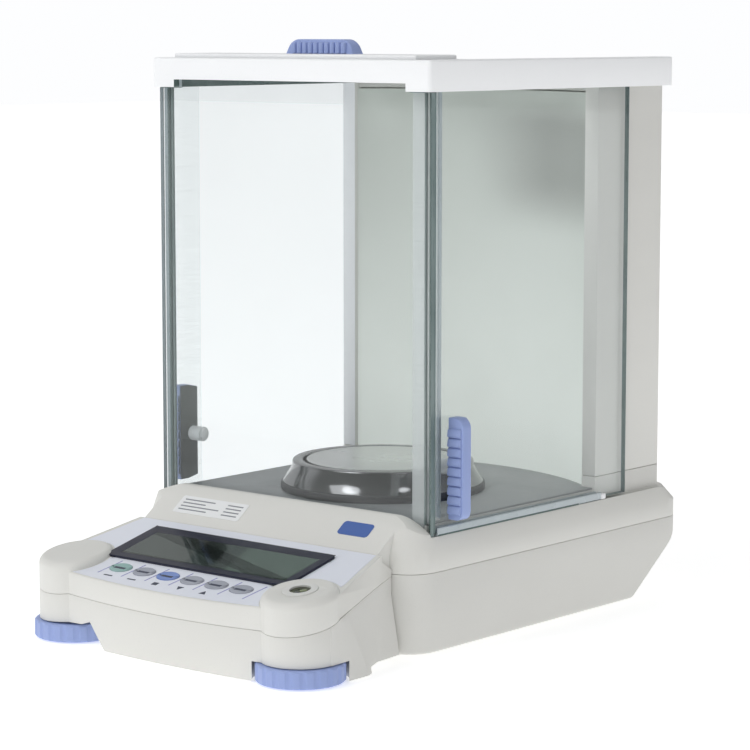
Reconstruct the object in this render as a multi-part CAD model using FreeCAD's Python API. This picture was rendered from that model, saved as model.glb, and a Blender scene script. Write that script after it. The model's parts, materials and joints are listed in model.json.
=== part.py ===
import FreeCAD, Part
import math
import os

# Analytical balance with a glass draught shield.
# Millimetres. X is the width, Y runs from the console to the back, Z is up.
# The origin is on the bench, under the middle of the whole outline.

V = FreeCAD.Vector

# ---------------------------------------------------------------- driving sizes
HALF_LENGTH = 178.5          # foot wheels at the front to the back of the base
TOTAL_HEIGHT = 338.0         # bench to the top of the roof door's handle
BODY_HALF_WIDTH = 106.5      # base housing
WALL = 2.5                   # moulded housing walls
SEAM = 0.3                   # open line between two housings
FIT = 0.05                   # radial clearance of a turning or sliding shaft

# base housing
BASE_FRONT = -85.7
BASE_REAR = HALF_LENGTH
BASE_CORNER = 20.0
BASE_BOTTOM = 3.0
PARTING = 47.9
SHOULDER = 58.0              # the cover's side starts to lean in here
LEDGE = 66.9                 # the side doors run on this level
LEDGE_INSET = 2.9
LEDGE_REAR_INSET = 9.0
STERN_FOOT = 121.0           # the slanted stern starts here, at the bottom
STERN_TOP = 45.0             # and ends at this height, at the back
RIM_TOP = 77.5               # sill in front of the front glass
RIM_FRONT = -71.5
RIM_FLAT_HALF = 82.0
PLATFORM_TOP = 72.3
PLATFORM_HALF = 97.0
FLOOR_PLATE = 1.2

# console
PANEL_TILT = 13.86           # degrees, falling towards the front
PANEL_REAR = -95.4
PANEL_REAR_TOP = 60.0
NOSE_HALF = 89.3
SKIRT_TILT = 12.0            # the console's seam runs a little flatter
SKIRT_SEAM_FRONT = 28.3      # height of that seam at y = -173
SKIRT_BOTTOM = 0.8
SKIRT_UPRIGHT = 37.0
SKIRT_REAR_BOTTOM = 4.0
WALL_FRONT = -176.5          # middle of the bowed front wall
WALL_BOW = 4.8
WALL_HALF = 75.0
TURRET_X = 85.45
TURRET_Y = -154.1
TURRET_R = 21.4
TURRET_TOP = 49.5
TURRET_TILT = 10.0
POCKET_R = 26.0
POCKET_ROOF = 11.5

# levelling feet
WHEEL_R = 24.4
WHEEL_BOTTOM = 0.9
WHEEL_TOP = 10.9
WHEEL_SCALLOPS = 20
PAD_R = 13.0
STUD_R = 3.95
STUD_TOP = 36.0
STEM_R = 2.5
REAR_FOOT_X = 76.0
REAR_FOOT_Y = 104.0
REAR_FOOT_R = 9.0

# screws that hold the lower cover to the chassis
SCREW_X = 88.0
SCREW_REAR_Y = 92.0
SCREW_FRONT_Y = -50.0
SCREW_R = 1.95
SCREW_HEAD_R = 3.6

# draught shield
GLASS = 3.0
DOOR_FACE = 102.8            # outer face of the side door glass
FRONT_GLASS_FACE = -66.2
DOOR_FRONT = -62.6
DOOR_REAR = 118.3
DOOR_RAIL_REAR = 92.5
DOOR_RAIL_TOP = 71.6
ROOF_HALF = 104.95
ROOF_FRONT = -70.0
ROOF_REAR = 160.6
ROOF_BOTTOM = 310.2
ROOF_TOP = 327.3
RAIL_INNER = 87.4
POST_INNER = 87.0            # clear strips behind the front glass
POST_OUTER = 95.5
POST_DEPTH = 14.0
TOP_GLASS_HALF = 91.0
TOP_GLASS_Z = 322.3
TOP_DOOR_FRONT = -65.6
TOP_DOOR_REAR = 112.0
CARRIER_TOP = 329.8

# rear housing of the weighing chamber
TOWER_HALF = 98.8
TOWER_FRONT = 93.0
TOWER_REAR = ROOF_REAR
TOWER_CORNER = 4.0
COLLAR_TOP = 79.9
JAMB_INNER = 89.0
BACK_PANEL_APEX = 123.0

# weighing parts
PAN_Y = 15.0
PAN_R = 45.5
PAN_TOP = 91.0
RING_BOTTOM_R = 59.5
RING_TOP_R = 53.5
RING_OPENING_R = 47.5
BAND_HEIGHT = 4.4            # dark band under the polished ring
FLOOR_TOP = PLATFORM_TOP + FLOOR_PLATE

# weighing cell
CELL_HALF = 34.0
CELL_FRONT = -12.0
CELL_REAR = 104.0
CELL_BOTTOM = 13.6
LEVER_PIVOT_Y = 42.0
LEVER_PIVOT_Z = 28.0
LEVER_SHAFT_R = 2.0
MAGNET_Y = 84.0

# door handles
HANDLE_X = 112.0
HANDLE_FRONT = -52.5
HANDLE_REAR = -35.5
HANDLE_LOW = 75.0
HANDLE_HIGH = 132.0
KNOB_Y = -43.5
KNOB_Z = 103.0

# display and keys, measured on the tilted panel: x across, s up the slope
BEZEL_HALF = 69.0
BEZEL_LOW = -53.5
BEZEL_HIGH = -10.5
WINDOW_HALF = 59.5
WINDOW_LOW = -47.5
WINDOW_HIGH = -12.5
KEY_S = -64.0
KEY_PITCH = 18.4
KEY_HALF_LENGTH = 7.5
KEY_HALF_WIDTH = 5.2
KEY_GAP = 0.25
KEY_NAMES = ("key_power", "key_calibrate", "key_tare", "key_down", "key_up", "key_print")


# ---------------------------------------------------------------- plain shapes
def box(x0, x1, y0, y1, z0, z1):
    return Part.makeBox(x1 - x0, y1 - y0, z1 - z0, V(x0, y0, z0))


def cylinder(x, y, z0, z1, radius):
    return Part.makeCylinder(radius, z1 - z0, V(x, y, z0))


def cylinder_x(x0, x1, y, z, radius):
    return Part.makeCylinder(radius, x1 - x0, V(x0, y, z), V(1, 0, 0))


def cylinder_y(x, y0, y1, z, radius):
    return Part.makeCylinder(radius, y1 - y0, V(x, y0, z), V(0, 1, 0))


def loop(points):
    return Part.makePolygon(list(points) + [points[0]])


def prism_z(points, z0, z1):
    face = Part.Face(loop([V(x, y, z0) for x, y in points]))
    return face.extrude(V(0, 0, z1 - z0))


def prism_x(points, x0, x1):
    face = Part.Face(loop([V(x0, y, z) for y, z in points]))
    return face.extrude(V(x1 - x0, 0, 0))


def prism_y(points, y0, y1):
    face = Part.Face(loop([V(x, y0, z) for x, z in points]))
    return face.extrude(V(0, y1 - y0, 0))


def join(shapes):
    result = shapes[0]
    for shape in shapes[1:]:
        result = result.fuse(shape)
    return result.removeSplitter()


def cut(shape, tools):
    for tool in tools:
        shape = shape.cut(tool)
    return shape


def mirrored(shape):
    return shape.mirror(V(0, 0, 0), V(1, 0, 0))


def both_sides(shape):
    return [shape, mirrored(shape)]


def rounded_wire(x0, x1, y0, y1, radius, z):
    d = radius * (1 - math.sqrt(0.5))
    arcs = [
        Part.Arc(V(x1 - radius, y0, z), V(x1 - d, y0 + d, z), V(x1, y0 + radius, z)),
        Part.Arc(V(x1, y1 - radius, z), V(x1 - d, y1 - d, z), V(x1 - radius, y1, z)),
        Part.Arc(V(x0 + radius, y1, z), V(x0 + d, y1 - d, z), V(x0, y1 - radius, z)),
        Part.Arc(V(x0, y0 + radius, z), V(x0 + d, y0 + d, z), V(x0 + radius, y0, z)),
    ]
    edges = []
    for index, arc in enumerate(arcs):
        edges.append(arc.toShape())
        following = arcs[(index + 1) % len(arcs)]
        edges.append(Part.makeLine(arc.EndPoint, following.StartPoint))
    return Part.Wire(edges)


def rounded_block(x0, x1, y0, y1, radius, z0, z1):
    face = Part.Face(rounded_wire(x0, x1, y0, y1, radius, z0))
    return face.extrude(V(0, 0, z1 - z0))


def ellipse_block(x, y, half_x, half_y, z0, z1):
    ellipse = Part.Ellipse(V(x, y, z0), half_x, half_y)
    return Part.Face(Part.Wire(ellipse.toShape())).extrude(V(0, 0, z1 - z0))


def turned(profile, x, y):
    """Solid of revolution about the vertical through x, y; profile holds (radius, z)."""
    face = Part.Face(loop([V(x + r, y, z) for r, z in profile]))
    return face.revolve(V(x, y, 0), V(0, 0, 1), 360)


def edges_at(shape, test):
    return [edge for edge in shape.Edges if test(edge)]


# ---------------------------------------------------------------- tilted planes
def on_panel(shape):
    """Move a shape drawn flat, with s along Y, onto the tilted operating panel."""
    placed = shape.copy()
    placed.rotate(V(0, 0, 0), V(1, 0, 0), PANEL_TILT)
    placed.translate(V(0, PANEL_REAR, PANEL_REAR_TOP))
    return placed


def on_turret(shape, side):
    """Move a shape drawn flat about the origin onto the tilted top of a turret."""
    placed = shape.copy()
    placed.rotate(V(0, 0, 0), V(1, 0, 0), TURRET_TILT)
    placed.translate(V(side * TURRET_X, TURRET_Y, TURRET_TOP))
    return placed


def above_panel(offset):
    return on_panel(box(-150, 150, -150, 60, offset, 80))


def above_turret(side, offset):
    return on_turret(box(-60, 60, -60, 60, offset, 60), side)


def skirt_seam_side(above, gap):
    """Everything above, or below, the console's tilted seam."""
    if above:
        slab = box(-150, 150, -60, 140, gap, 90)
    else:
        slab = box(-150, 150, -60, 140, -90, -gap)
    slab.rotate(V(0, 0, 0), V(1, 0, 0), SKIRT_TILT)
    slab.translate(V(0, -173.0, SKIRT_SEAM_FRONT))
    return slab


# ---------------------------------------------------------------- base housing
def base_block(inset, z0, z1):
    return rounded_block(-BODY_HALF_WIDTH + inset, BODY_HALF_WIDTH - inset,
                         BASE_FRONT + inset, BASE_REAR - inset,
                         BASE_CORNER - inset, z0, z1)


def stern_cut(inset):
    """Wedge removed below the slanted stern."""
    run = BASE_REAR - STERN_FOOT
    rise = STERN_TOP - BASE_BOTTOM
    length = math.hypot(run, rise)
    step_y, step_z = run / length, rise / length
    y0 = STERN_FOOT - inset * step_z - 6 * step_y
    z0 = BASE_BOTTOM + inset * step_y - 6 * step_z
    y1 = y0 + (length + 12) * step_y
    z1 = z0 + (length + 12) * step_z
    return prism_x([(y0, z0), (y1, z1), (y1, z0 - 20), (y0, z0 - 20)], -120, 120)


def base_lower_cover():
    outer = base_block(0, BASE_BOTTOM, PARTING - SEAM / 2).cut(stern_cut(0))
    bottom = edges_at(outer, lambda e: e.BoundBox.ZMax < BASE_BOTTOM + 0.01)
    outer = outer.makeFillet(2.0, bottom)
    inner = base_block(WALL, BASE_BOTTOM + WALL, PARTING + 5).cut(stern_cut(WALL))
    cable_hole = box(-30, 30, BASE_FRONT - 1, BASE_FRONT + 5, 16, 36)
    hook_hole = cylinder(0, PAN_Y, BASE_BOTTOM - 1, BASE_BOTTOM + 5, 11.0)
    holes = screw_holes(BASE_BOTTOM - 1, BASE_BOTTOM + 5)
    return cut(outer, [inner, cable_hole, hook_hole] + holes)


def chassis_plate():
    low = BASE_BOTTOM + WALL
    plate = rounded_block(-96, 96, -76, 108, 12, low, low + 3.5)
    ribs = [box(-92, 92, y, y + 3, low + 3.5, low + 8) for y in (-60, 100)]
    bosses = [cylinder(x, y, low + 3.5, 40, 5.0) for x in (-SCREW_X, SCREW_X)
              for y in (SCREW_FRONT_Y, SCREW_REAR_Y)]
    posts = [cylinder(x, y, low + 3.5, CELL_BOTTOM, 5.0) for x in (-26, 26)
             for y in (CELL_FRONT + 8, CELL_REAR - 8)]
    posts += [cylinder(x, y, low + 3.5, 12.0, 3.5) for x in (-80, -50, 50, 80)
              for y in (-22, 42)]
    hole = cylinder(0, PAN_Y, low - 1, low + 6, 14.0)
    return cut(join([plate] + ribs + bosses + posts), [hole] + screw_holes(low - 1, 20))


def cover_band(inset):
    """Upper housing: a straight band, then sides that lean in to the door ledge."""
    low = rounded_wire(-BODY_HALF_WIDTH + inset, BODY_HALF_WIDTH - inset,
                       BASE_FRONT + inset, BASE_REAR - inset, BASE_CORNER - inset, SHOULDER)
    side = BODY_HALF_WIDTH - LEDGE_INSET - inset
    high = rounded_wire(-side, side, BASE_FRONT + LEDGE_INSET + inset,
                        BASE_REAR - LEDGE_REAR_INSET - inset, BASE_CORNER - 1 - inset, LEDGE)
    leaning = Part.makeLoft([low, high], True, True)
    straight = base_block(inset, PARTING + SEAM / 2, SHOULDER)
    return join([straight, leaning])


def shoulder_profile():
    """Outline of the sill seen from the front: flat, with rounded shoulders."""
    side = BODY_HALF_WIDTH - 0.2
    right = Part.Arc(V(RIM_FLAT_HALF, 0, RIM_TOP), V(95.2, 0, 73.0), V(side - 1.6, 0, LEDGE))
    left = Part.Arc(V(1.6 - side, 0, LEDGE), V(-95.2, 0, 73.0), V(-RIM_FLAT_HALF, 0, RIM_TOP))
    corners = [V(side - 1.6, 0, LEDGE), V(side, 0, SHOULDER), V(-side, 0, SHOULDER),
               V(1.6 - side, 0, LEDGE)]
    edges = [right.toShape()]
    for start, end in zip(corners, corners[1:]):
        edges.append(Part.makeLine(start, end))
    edges.append(left.toShape())
    edges.append(Part.makeLine(V(-RIM_FLAT_HALF, 0, RIM_TOP), V(RIM_FLAT_HALF, 0, RIM_TOP)))
    face = Part.Face(Part.Wire(edges))
    face.translate(V(0, -110, 0))
    return face.extrude(V(0, 60, 0))


def sill_limit():
    """The sides and corners of the sill lean in like the cover below them."""
    top = RIM_TOP + 1
    lean = LEDGE_INSET * (top - SHOULDER) / (LEDGE - SHOULDER)
    wires = []
    for inset, z in ((0.25, SHOULDER), (0.25 + lean, top)):
        wires.append(rounded_wire(-BODY_HALF_WIDTH + inset, BODY_HALF_WIDTH - inset,
                                  BASE_FRONT + inset, BASE_REAR - inset, BASE_CORNER - inset, z))
    return Part.makeLoft(wires, True, True)


def sill():
    """Raised sill in front of the glass, and the slope that falls to the console."""
    back = FRONT_GLASS_FACE - SEAM
    slope = [(back, SHOULDER), (back, RIM_TOP), (RIM_FRONT, RIM_TOP),
             (PANEL_REAR, PANEL_REAR_TOP), (PANEL_REAR, SHOULDER)]
    body = prism_x(slope, -BODY_HALF_WIDTH, BODY_HALF_WIDTH).common(shoulder_profile())
    body = body.common(sill_limit())
    crest = edges_at(body, lambda e: e.BoundBox.ZMin > RIM_TOP - 0.01
                     and e.BoundBox.XLength > RIM_FLAT_HALF)
    return body.makeFillet(1.5, crest)


def nose():
    """Lip of the sill that overhangs the back of the console."""
    outline = [(PANEL_REAR, PANEL_REAR_TOP), (PANEL_REAR, 56.5), (BASE_FRONT, 51.0),
               (BASE_FRONT + 6, 51.0), (BASE_FRONT + 6, 71.5)]
    slope_rise = (RIM_TOP - PANEL_REAR_TOP) / (RIM_FRONT - PANEL_REAR)
    outline[-1] = (BASE_FRONT + 6, PANEL_REAR_TOP + slope_rise * (BASE_FRONT + 6 - PANEL_REAR))
    return prism_x(outline, -NOSE_HALF, NOSE_HALF)


def tower_outline(inset, z0, z1):
    """Plan of the rear housing: straight sides, rounded back, square front."""
    block = rounded_block(-TOWER_HALF + inset, TOWER_HALF - inset,
                          TOWER_FRONT - 40, TOWER_REAR - inset, TOWER_CORNER - inset, z0, z1)
    return block.cut(box(-120, 120, TOWER_FRONT - 60, TOWER_FRONT, z0 - 1, z1 + 1))


def chamber_bay(depth, z0, z1):
    """Bowed back of the weighing chamber, made deeper by depth."""
    half = JAMB_INNER
    y_front = TOWER_FRONT - 1
    y_end = TOWER_FRONT + 2.5 + depth
    arc = Part.Arc(V(-half, y_end, z0), V(0, BACK_PANEL_APEX + depth, z0), V(half, y_end, z0))
    edges = [arc.toShape(), Part.makeLine(V(half, y_end, z0), V(half, y_front, z0)),
             Part.makeLine(V(half, y_front, z0), V(-half, y_front, z0)),
             Part.makeLine(V(-half, y_front, z0), V(-half, y_end, z0))]
    return Part.Face(Part.Wire(edges)).extrude(V(0, 0, z1 - z0))


def door_groove(x_low, x_high, z0, z1):
    return both_sides(box(x_low, x_high, DOOR_FRONT - 1.0, BASE_REAR + 5, z0, z1))


def base_upper_cover():
    platform = box(-PLATFORM_HALF, PLATFORM_HALF, DOOR_FRONT + 0.2, TOWER_FRONT + 8,
                   SHOULDER, PLATFORM_TOP)
    room = box(WALL + 0.5 - PLATFORM_HALF, PLATFORM_HALF - WALL - 0.5, DOOR_FRONT + 3,
               BACK_PANEL_APEX + 4, SHOULDER - 2, PLATFORM_TOP - WALL)
    collar = tower_outline(0, SHOULDER, COLLAR_TOP)
    well = chamber_bay(2.6, PLATFORM_TOP, COLLAR_TOP + 1)
    shell = join([cover_band(0), sill(), nose(), platform, collar])
    hollow = base_block(WALL, PARTING - 5, SHOULDER - 2)
    cavity = rounded_block(-94, 94, -78, TOWER_REAR - 4, 10, SHOULDER - 3, LEDGE - WALL)
    tower_way = tower_outline(3.0, LEDGE - WALL - 1, COLLAR_TOP + 1)
    tower_way = tower_way.cut(box(-120, 120, 0, 136, 0, 200))
    shaft_hole = cylinder(0, PAN_Y, SHOULDER - 4, PLATFORM_TOP + 1, 12.0)
    grooves = door_groove(99.9, 102.9, LEDGE - 1.3, LEDGE + 0.1)
    return cut(shell, [well, hollow, cavity, room, tower_way, shaft_hole] + grooves)


def chamber_floor():
    plate = box(-PLATFORM_HALF, PLATFORM_HALF, DOOR_FRONT + 0.2, TOWER_FRONT - 0.2,
                PLATFORM_TOP, FLOOR_TOP)
    plate = join([plate, chamber_bay(0.2, PLATFORM_TOP, FLOOR_TOP)])
    return plate.cut(cylinder(0, PAN_Y, PLATFORM_TOP - 1, FLOOR_TOP + 1, 12.0))


def rear_foot():
    pad = cylinder(REAR_FOOT_X, REAR_FOOT_Y, 0, BASE_BOTTOM, REAR_FOOT_R)
    return pad.makeFillet(0.6, edges_at(pad, lambda e: e.BoundBox.ZMax < 0.01))


def hook_cover():
    disc = cylinder(0, PAN_Y, BASE_BOTTOM - 1.2, BASE_BOTTOM, 15.0)
    plug = cylinder(0, PAN_Y, BASE_BOTTOM, BASE_BOTTOM + 2.4, 10.8)
    slot = box(-7, 7, PAN_Y - 0.8, PAN_Y + 0.8, BASE_BOTTOM - 2, BASE_BOTTOM - 0.4)
    return join([disc, plug]).cut(slot)


# ---------------------------------------------------------------- console
def console_wire(side_points, inset, z):
    """Closed plan of the console; the front wall is a shallow bow."""
    bow_end = V(WALL_HALF, WALL_FRONT + WALL_BOW + inset, z)
    middle = V(0, WALL_FRONT + inset, z)
    front = Part.Arc(V(-bow_end.x, bow_end.y, z), middle, bow_end).toShape()
    right = [bow_end]
    for x, y in side_points:
        right.append(V(x - inset, y, z))
    right[-1].y -= inset
    left = [V(-point.x, point.y, z) for point in reversed(right)]
    edges = [front]
    for start, end in zip(right + left, (right + left)[1:]):
        edges.append(Part.makeLine(start, end))
    return Part.Wire(edges)


CONSOLE_SIDE = [(BODY_HALF_WIDTH, TURRET_Y), (101.9, -135.0), (93.2, -98.0),
                (91.2, BASE_FRONT - SEAM)]
SKIRT_SIDE = [(107.4, TURRET_Y), (107.0, -123.0), (99.6, -108.0), (97.6, BASE_FRONT - SEAM)]
SKIRT_TOP_SIDE = [(107.0, TURRET_Y), (101.9, -135.0), (93.2, -98.0), (91.2, BASE_FRONT - SEAM)]


def console_block(inset, z0, z1):
    return Part.Face(console_wire(CONSOLE_SIDE, inset, z0)).extrude(V(0, 0, z1 - z0))


def skirt_block(inset, z0):
    """Lower console: the flanks lean in up to a set height and stand upright above it."""
    low = console_wire(SKIRT_SIDE, inset, z0)
    high = console_wire(SKIRT_TOP_SIDE, inset, SKIRT_UPRIGHT)
    upright = Part.Face(high).extrude(V(0, 0, 52.0 - SKIRT_UPRIGHT))
    return join([Part.makeLoft([low, high], True, True), upright])


def turret(side, radius, z0):
    return cylinder(side * TURRET_X, TURRET_Y, z0, 70.0, radius)


def wheel_pockets():
    """Open corners for the foot wheels; the left one is cut wide for the fingers."""
    pockets = [cylinder(side * TURRET_X, TURRET_Y, -5, POCKET_ROOF, POCKET_R)
               for side in (-1, 1)]
    finger_cut = [(-90, -5), (-90, POCKET_ROOF), (-62, POCKET_ROOF + 1.5), (-55, 15.8),
                  (-42.3, SKIRT_BOTTOM), (-39, -5)]
    pockets.append(prism_y(finger_cut, WALL_FRONT - 5, WALL_FRONT + 24))
    return pockets


def console_lower_cover():
    outer = join([skirt_block(0, SKIRT_BOTTOM)]
                 + [turret(side, TURRET_R, POCKET_ROOF) for side in (-1, 1)])
    raised = box(-120, 120, -118.0, BASE_FRONT + 5, -5, SKIRT_REAR_BOTTOM)
    inner = join([skirt_block(WALL, SKIRT_BOTTOM - 4)]
                 + [turret(side, TURRET_R - WALL, POCKET_ROOF) for side in (-1, 1)])
    shrouds = [cylinder(side * TURRET_X, TURRET_Y, -10, POCKET_ROOF + WALL, POCKET_R + WALL)
               for side in (-1, 1)]
    finger_wall = prism_y([(-92, -12), (-92, 14), (-60, 17), (-53, 18), (-37, -12)],
                          WALL_FRONT - 5, WALL_FRONT + 26)
    floor = box(-120, 120, WALL_FRONT - 5, BASE_FRONT, SKIRT_REAR_BOTTOM,
                SKIRT_REAR_BOTTOM + WALL)
    under = box(-120, 120, WALL_FRONT - 5, BASE_FRONT, SKIRT_BOTTOM - 5, SKIRT_REAR_BOTTOM)
    recess = inner.common(under)
    inner = cut(inner, shrouds + [finger_wall, floor, under])
    bosses = [cylinder(side * TURRET_X, TURRET_Y, POCKET_ROOF, 27.0, 8.0) for side in (-1, 1)]
    nuts = [cylinder(side * TURRET_X, TURRET_Y, -10, 80, STUD_R + FIT) for side in (-1, 1)]
    shell = join([cut(outer, [inner, cut(recess, shrouds + [finger_wall])])] + bosses)
    return cut(shell, wheel_pockets() + [raised, skirt_seam_side(True, -SEAM / 2)] + nuts)


def turret_cap(side, radius, offset, edge_radius):
    cap = turret(side, radius, 20.0).cut(above_turret(side, offset))
    rim = edges_at(cap, lambda e: e.BoundBox.ZMin > 35)
    return cap.makeFillet(edge_radius, rim)


def key_x(index):
    return (index - (len(KEY_NAMES) - 1) / 2) * KEY_PITCH


def key_blocks(margin, z0, z1):
    return [ellipse_block(key_x(index), KEY_S, KEY_HALF_LENGTH + margin,
                          KEY_HALF_WIDTH + margin, z0, z1)
            for index in range(len(KEY_NAMES))]


def membrane_area(inset, z0, z1):
    """Printed sheet between the turrets, drawn flat."""
    front = (WALL_FRONT + 1.4 - PANEL_REAR) / math.cos(math.radians(PANEL_TILT))
    s_turret = (TURRET_Y - PANEL_REAR) / math.cos(math.radians(PANEL_TILT))
    half = WALL_HALF - inset
    arc = Part.Arc(V(-half, front + WALL_BOW + inset, z0), V(0, front + inset, z0),
                   V(half, front + WALL_BOW + inset, z0))
    right = [arc.EndPoint, V(98.3 - inset, -60, z0), V(98.3 - inset, -39.0, z0),
             V(88.9 - inset, -0.8 - inset, z0)]
    left = [V(-point.x, point.y, z0) for point in reversed(right)]
    edges = [arc.toShape()]
    for start, end in zip(right + left, (right + left)[1:]):
        edges.append(Part.makeLine(start, end))
    sheet = Part.Face(Part.Wire(edges)).extrude(V(0, 0, z1 - z0))
    for side in (-1, 1):
        sheet = sheet.cut(cylinder(side * TURRET_X, s_turret, z0 - 1, z1 + 1,
                                   TURRET_R + 0.9 + inset))
    return sheet


def nose_room():
    outline = [(PANEL_REAR - SEAM, 90), (PANEL_REAR - SEAM, 56.2), (BASE_FRONT - SEAM, 50.6),
               (BASE_FRONT + 5, 50.6), (BASE_FRONT + 5, 90)]
    return prism_x(outline, -120, 120)


def console_upper_cover():
    body = console_block(0, 20, 70).cut(above_panel(0))
    front = edges_at(body, lambda e: e.BoundBox.XLength > 140 and e.BoundBox.ZMin > 35
                     and e.BoundBox.YMax < -150)
    body = body.makeFillet(1.2, front)
    caps = [turret_cap(side, TURRET_R, 0, 4.5) for side in (-1, 1)]
    outer = join([body] + caps)
    inner = join([console_block(WALL, 10, 80).cut(above_panel(-WALL - 0.5))]
                 + [turret_cap(side, TURRET_R - WALL, -WALL, 2.5) for side in (-1, 1)])
    openings = [on_panel(window_block(0.6, -12, 5)), on_panel(membrane_area(-0.1, -0.5, 5)),
                on_turret(cylinder(0, 0, -20, 10, 8.0), 1)]
    openings += [on_panel(hole) for hole in key_blocks(KEY_GAP, -12, 5)]
    seat = on_turret(cylinder(0, 0, -0.6, 10, 9.9), 1)
    return cut(outer, [inner, nose_room(), skirt_seam_side(False, -SEAM / 2), seat] + openings)


def membrane_panel():
    sheet = membrane_area(0, -0.5, 0.1).cut(window_block(0, -2, 2))
    for hole in key_blocks(KEY_GAP, -2, 2):
        sheet = sheet.cut(hole)
    return on_panel(sheet)


def window_block(margin, z0, z1):
    return box(-WINDOW_HALF - margin, WINDOW_HALF + margin,
               WINDOW_LOW - margin, WINDOW_HIGH + margin, z0, z1)


def display_bezel():
    frame = rounded_block(-BEZEL_HALF, BEZEL_HALF, BEZEL_LOW, BEZEL_HIGH, 2.5, 0.1, 1.4)
    frame = frame.makeFillet(0.6, edges_at(frame, lambda e: e.BoundBox.ZMin > 1.39))
    s_turret = (TURRET_Y - PANEL_REAR) / math.cos(math.radians(PANEL_TILT))
    turrets = [cylinder(side * TURRET_X, s_turret, -2, 3, TURRET_R + 0.9) for side in (-1, 1)]
    return on_panel(cut(frame, [window_block(0, -2, 3)] + turrets))


def display_window():
    return on_panel(window_block(0, -0.5, 0.9))


def display_module():
    glass = box(-WINDOW_HALF, WINDOW_HALF, WINDOW_LOW, WINDOW_HIGH, -3.3, -0.6)
    board = box(-WINDOW_HALF - 4, WINDOW_HALF + 4, WINDOW_LOW - 3, WINDOW_HIGH - 1, -7.5, -3.3)
    return on_panel(join([glass, board]))


def key_board():
    board = box(-62, 62, KEY_S - 9, KEY_S + 9, -6.4, -4.6)
    domes = [cylinder(key_x(index), KEY_S, -4.6, -2.8, 3.5) for index in range(len(KEY_NAMES))]
    return on_panel(join([board] + domes))


def key_cap(index):
    cap = ellipse_block(key_x(index), KEY_S, KEY_HALF_LENGTH, KEY_HALF_WIDTH, -2.1, 0.7)
    top = edges_at(cap, lambda e: e.BoundBox.ZMin > 0.69)
    return on_panel(cap.makeFillet(0.4, top))


def level_ring():
    ring = cylinder(0, 0, -0.6, 0.5, 9.8)
    ring = ring.makeFillet(0.4, edges_at(ring, lambda e: e.BoundBox.ZMin > 0.49))
    return on_turret(ring.cut(cylinder(0, 0, -2, 2, 5.9)), 1)


def level_vial():
    return on_turret(cylinder(0, 0, -9.5, -0.65, 7.4), 1)


# ---------------------------------------------------------------- levelling feet
def foot_pad(side):
    x = side * TURRET_X
    pad = cylinder(x, TURRET_Y, 0, 3.4, PAD_R)
    pad = pad.makeFillet(0.8, edges_at(pad, lambda e: e.BoundBox.ZMax < 0.01))
    return join([pad, cylinder(x, TURRET_Y, 3.0, 8.6, STEM_R)])


def foot_wheel(side):
    x = side * TURRET_X
    edge = 0.9
    wheel = turned([(0, WHEEL_BOTTOM), (WHEEL_R - edge, WHEEL_BOTTOM), (WHEEL_R, WHEEL_BOTTOM + edge),
                    (WHEEL_R, WHEEL_TOP - edge), (WHEEL_R - edge, WHEEL_TOP), (0, WHEEL_TOP)],
                   x, TURRET_Y)
    scallops = []
    for index in range(WHEEL_SCALLOPS):
        angle = 2 * math.pi * (index + 0.5) / WHEEL_SCALLOPS
        distance = WHEEL_R + 2.3
        scallops.append(cylinder(x + distance * math.cos(angle), TURRET_Y + distance
                                 * math.sin(angle), WHEEL_BOTTOM - 1, WHEEL_TOP + 1, 3.1))
    recess = cylinder(x, TURRET_Y, WHEEL_BOTTOM - 1, 3.8, PAD_R + 0.8)
    stud = cylinder(x, TURRET_Y, WHEEL_TOP - 1, STUD_TOP, STUD_R)
    socket = cylinder(x, TURRET_Y, 0, 9.0, STEM_R + FIT)
    return cut(join([wheel, stud]), scallops + [recess, socket])


# ---------------------------------------------------------------- rear housing
def tower_shell():
    low = COLLAR_TOP + SEAM
    high = ROOF_BOTTOM
    outer = tower_outline(0, low, high)
    inner = tower_outline(WALL, low - 1, high - 3)
    returns = both_sides(box(JAMB_INNER, JAMB_INNER + WALL, 0, TOWER_FRONT + 6.5, 0, 400))
    inner = cut(inner, [box(-120, 120, 0, TOWER_FRONT + WALL, 0, 400)] + returns)
    well = chamber_bay(2.6, low - 1, high + 1)
    ports = [rear_port(0), rear_port(1)]
    back = TOWER_REAR - WALL
    tongue = join([box(-60, 60, back - 3, back - 0.6, low - 6, low + 8),
                   box(-60, 60, back - 3, back + 0.5, low + 1, low + 8)])
    return join([cut(outer, [inner, well] + ports), tongue])


def chamber_back_panel():
    z0 = PLATFORM_TOP + 0.1
    z1 = ROOF_BOTTOM - 3.6
    return chamber_bay(2.3, z0, z1).cut(chamber_bay(0.3, z0 - 1, z1 + 1))


def rear_port(kind):
    """Openings for the two sockets low on the back wall."""
    if kind == 0:
        return cylinder_y(60, TOWER_REAR - 6, TOWER_REAR + 2, 100, 5.9)
    return box(-62, -30, TOWER_REAR - 6, TOWER_REAR + 2, 93.5, 106.5)


def power_inlet():
    flange = cylinder_y(60, TOWER_REAR, TOWER_REAR + 1.2, 100, 7.5)
    barrel = cylinder_y(60, TOWER_REAR - 12, TOWER_REAR, 100, 5.8)
    bore = cylinder_y(60, TOWER_REAR - 9, TOWER_REAR + 3, 100, 2.8)
    pin = cylinder_y(60, TOWER_REAR - 9, TOWER_REAR - 0.5, 100, 1.0)
    return join([join([flange, barrel]).cut(bore), pin])


def data_socket():
    shell = box(-61.8, -30.2, TOWER_REAR - 9, TOWER_REAR + 4.5, 93.7, 106.3)
    edges = edges_at(shell, lambda e: e.BoundBox.YLength > 10)
    shell = shell.makeFillet(2.6, edges)
    mouth = box(-56, -36, TOWER_REAR - 1, TOWER_REAR + 6, 96.2, 103.8)
    return shell.cut(mouth)


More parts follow.
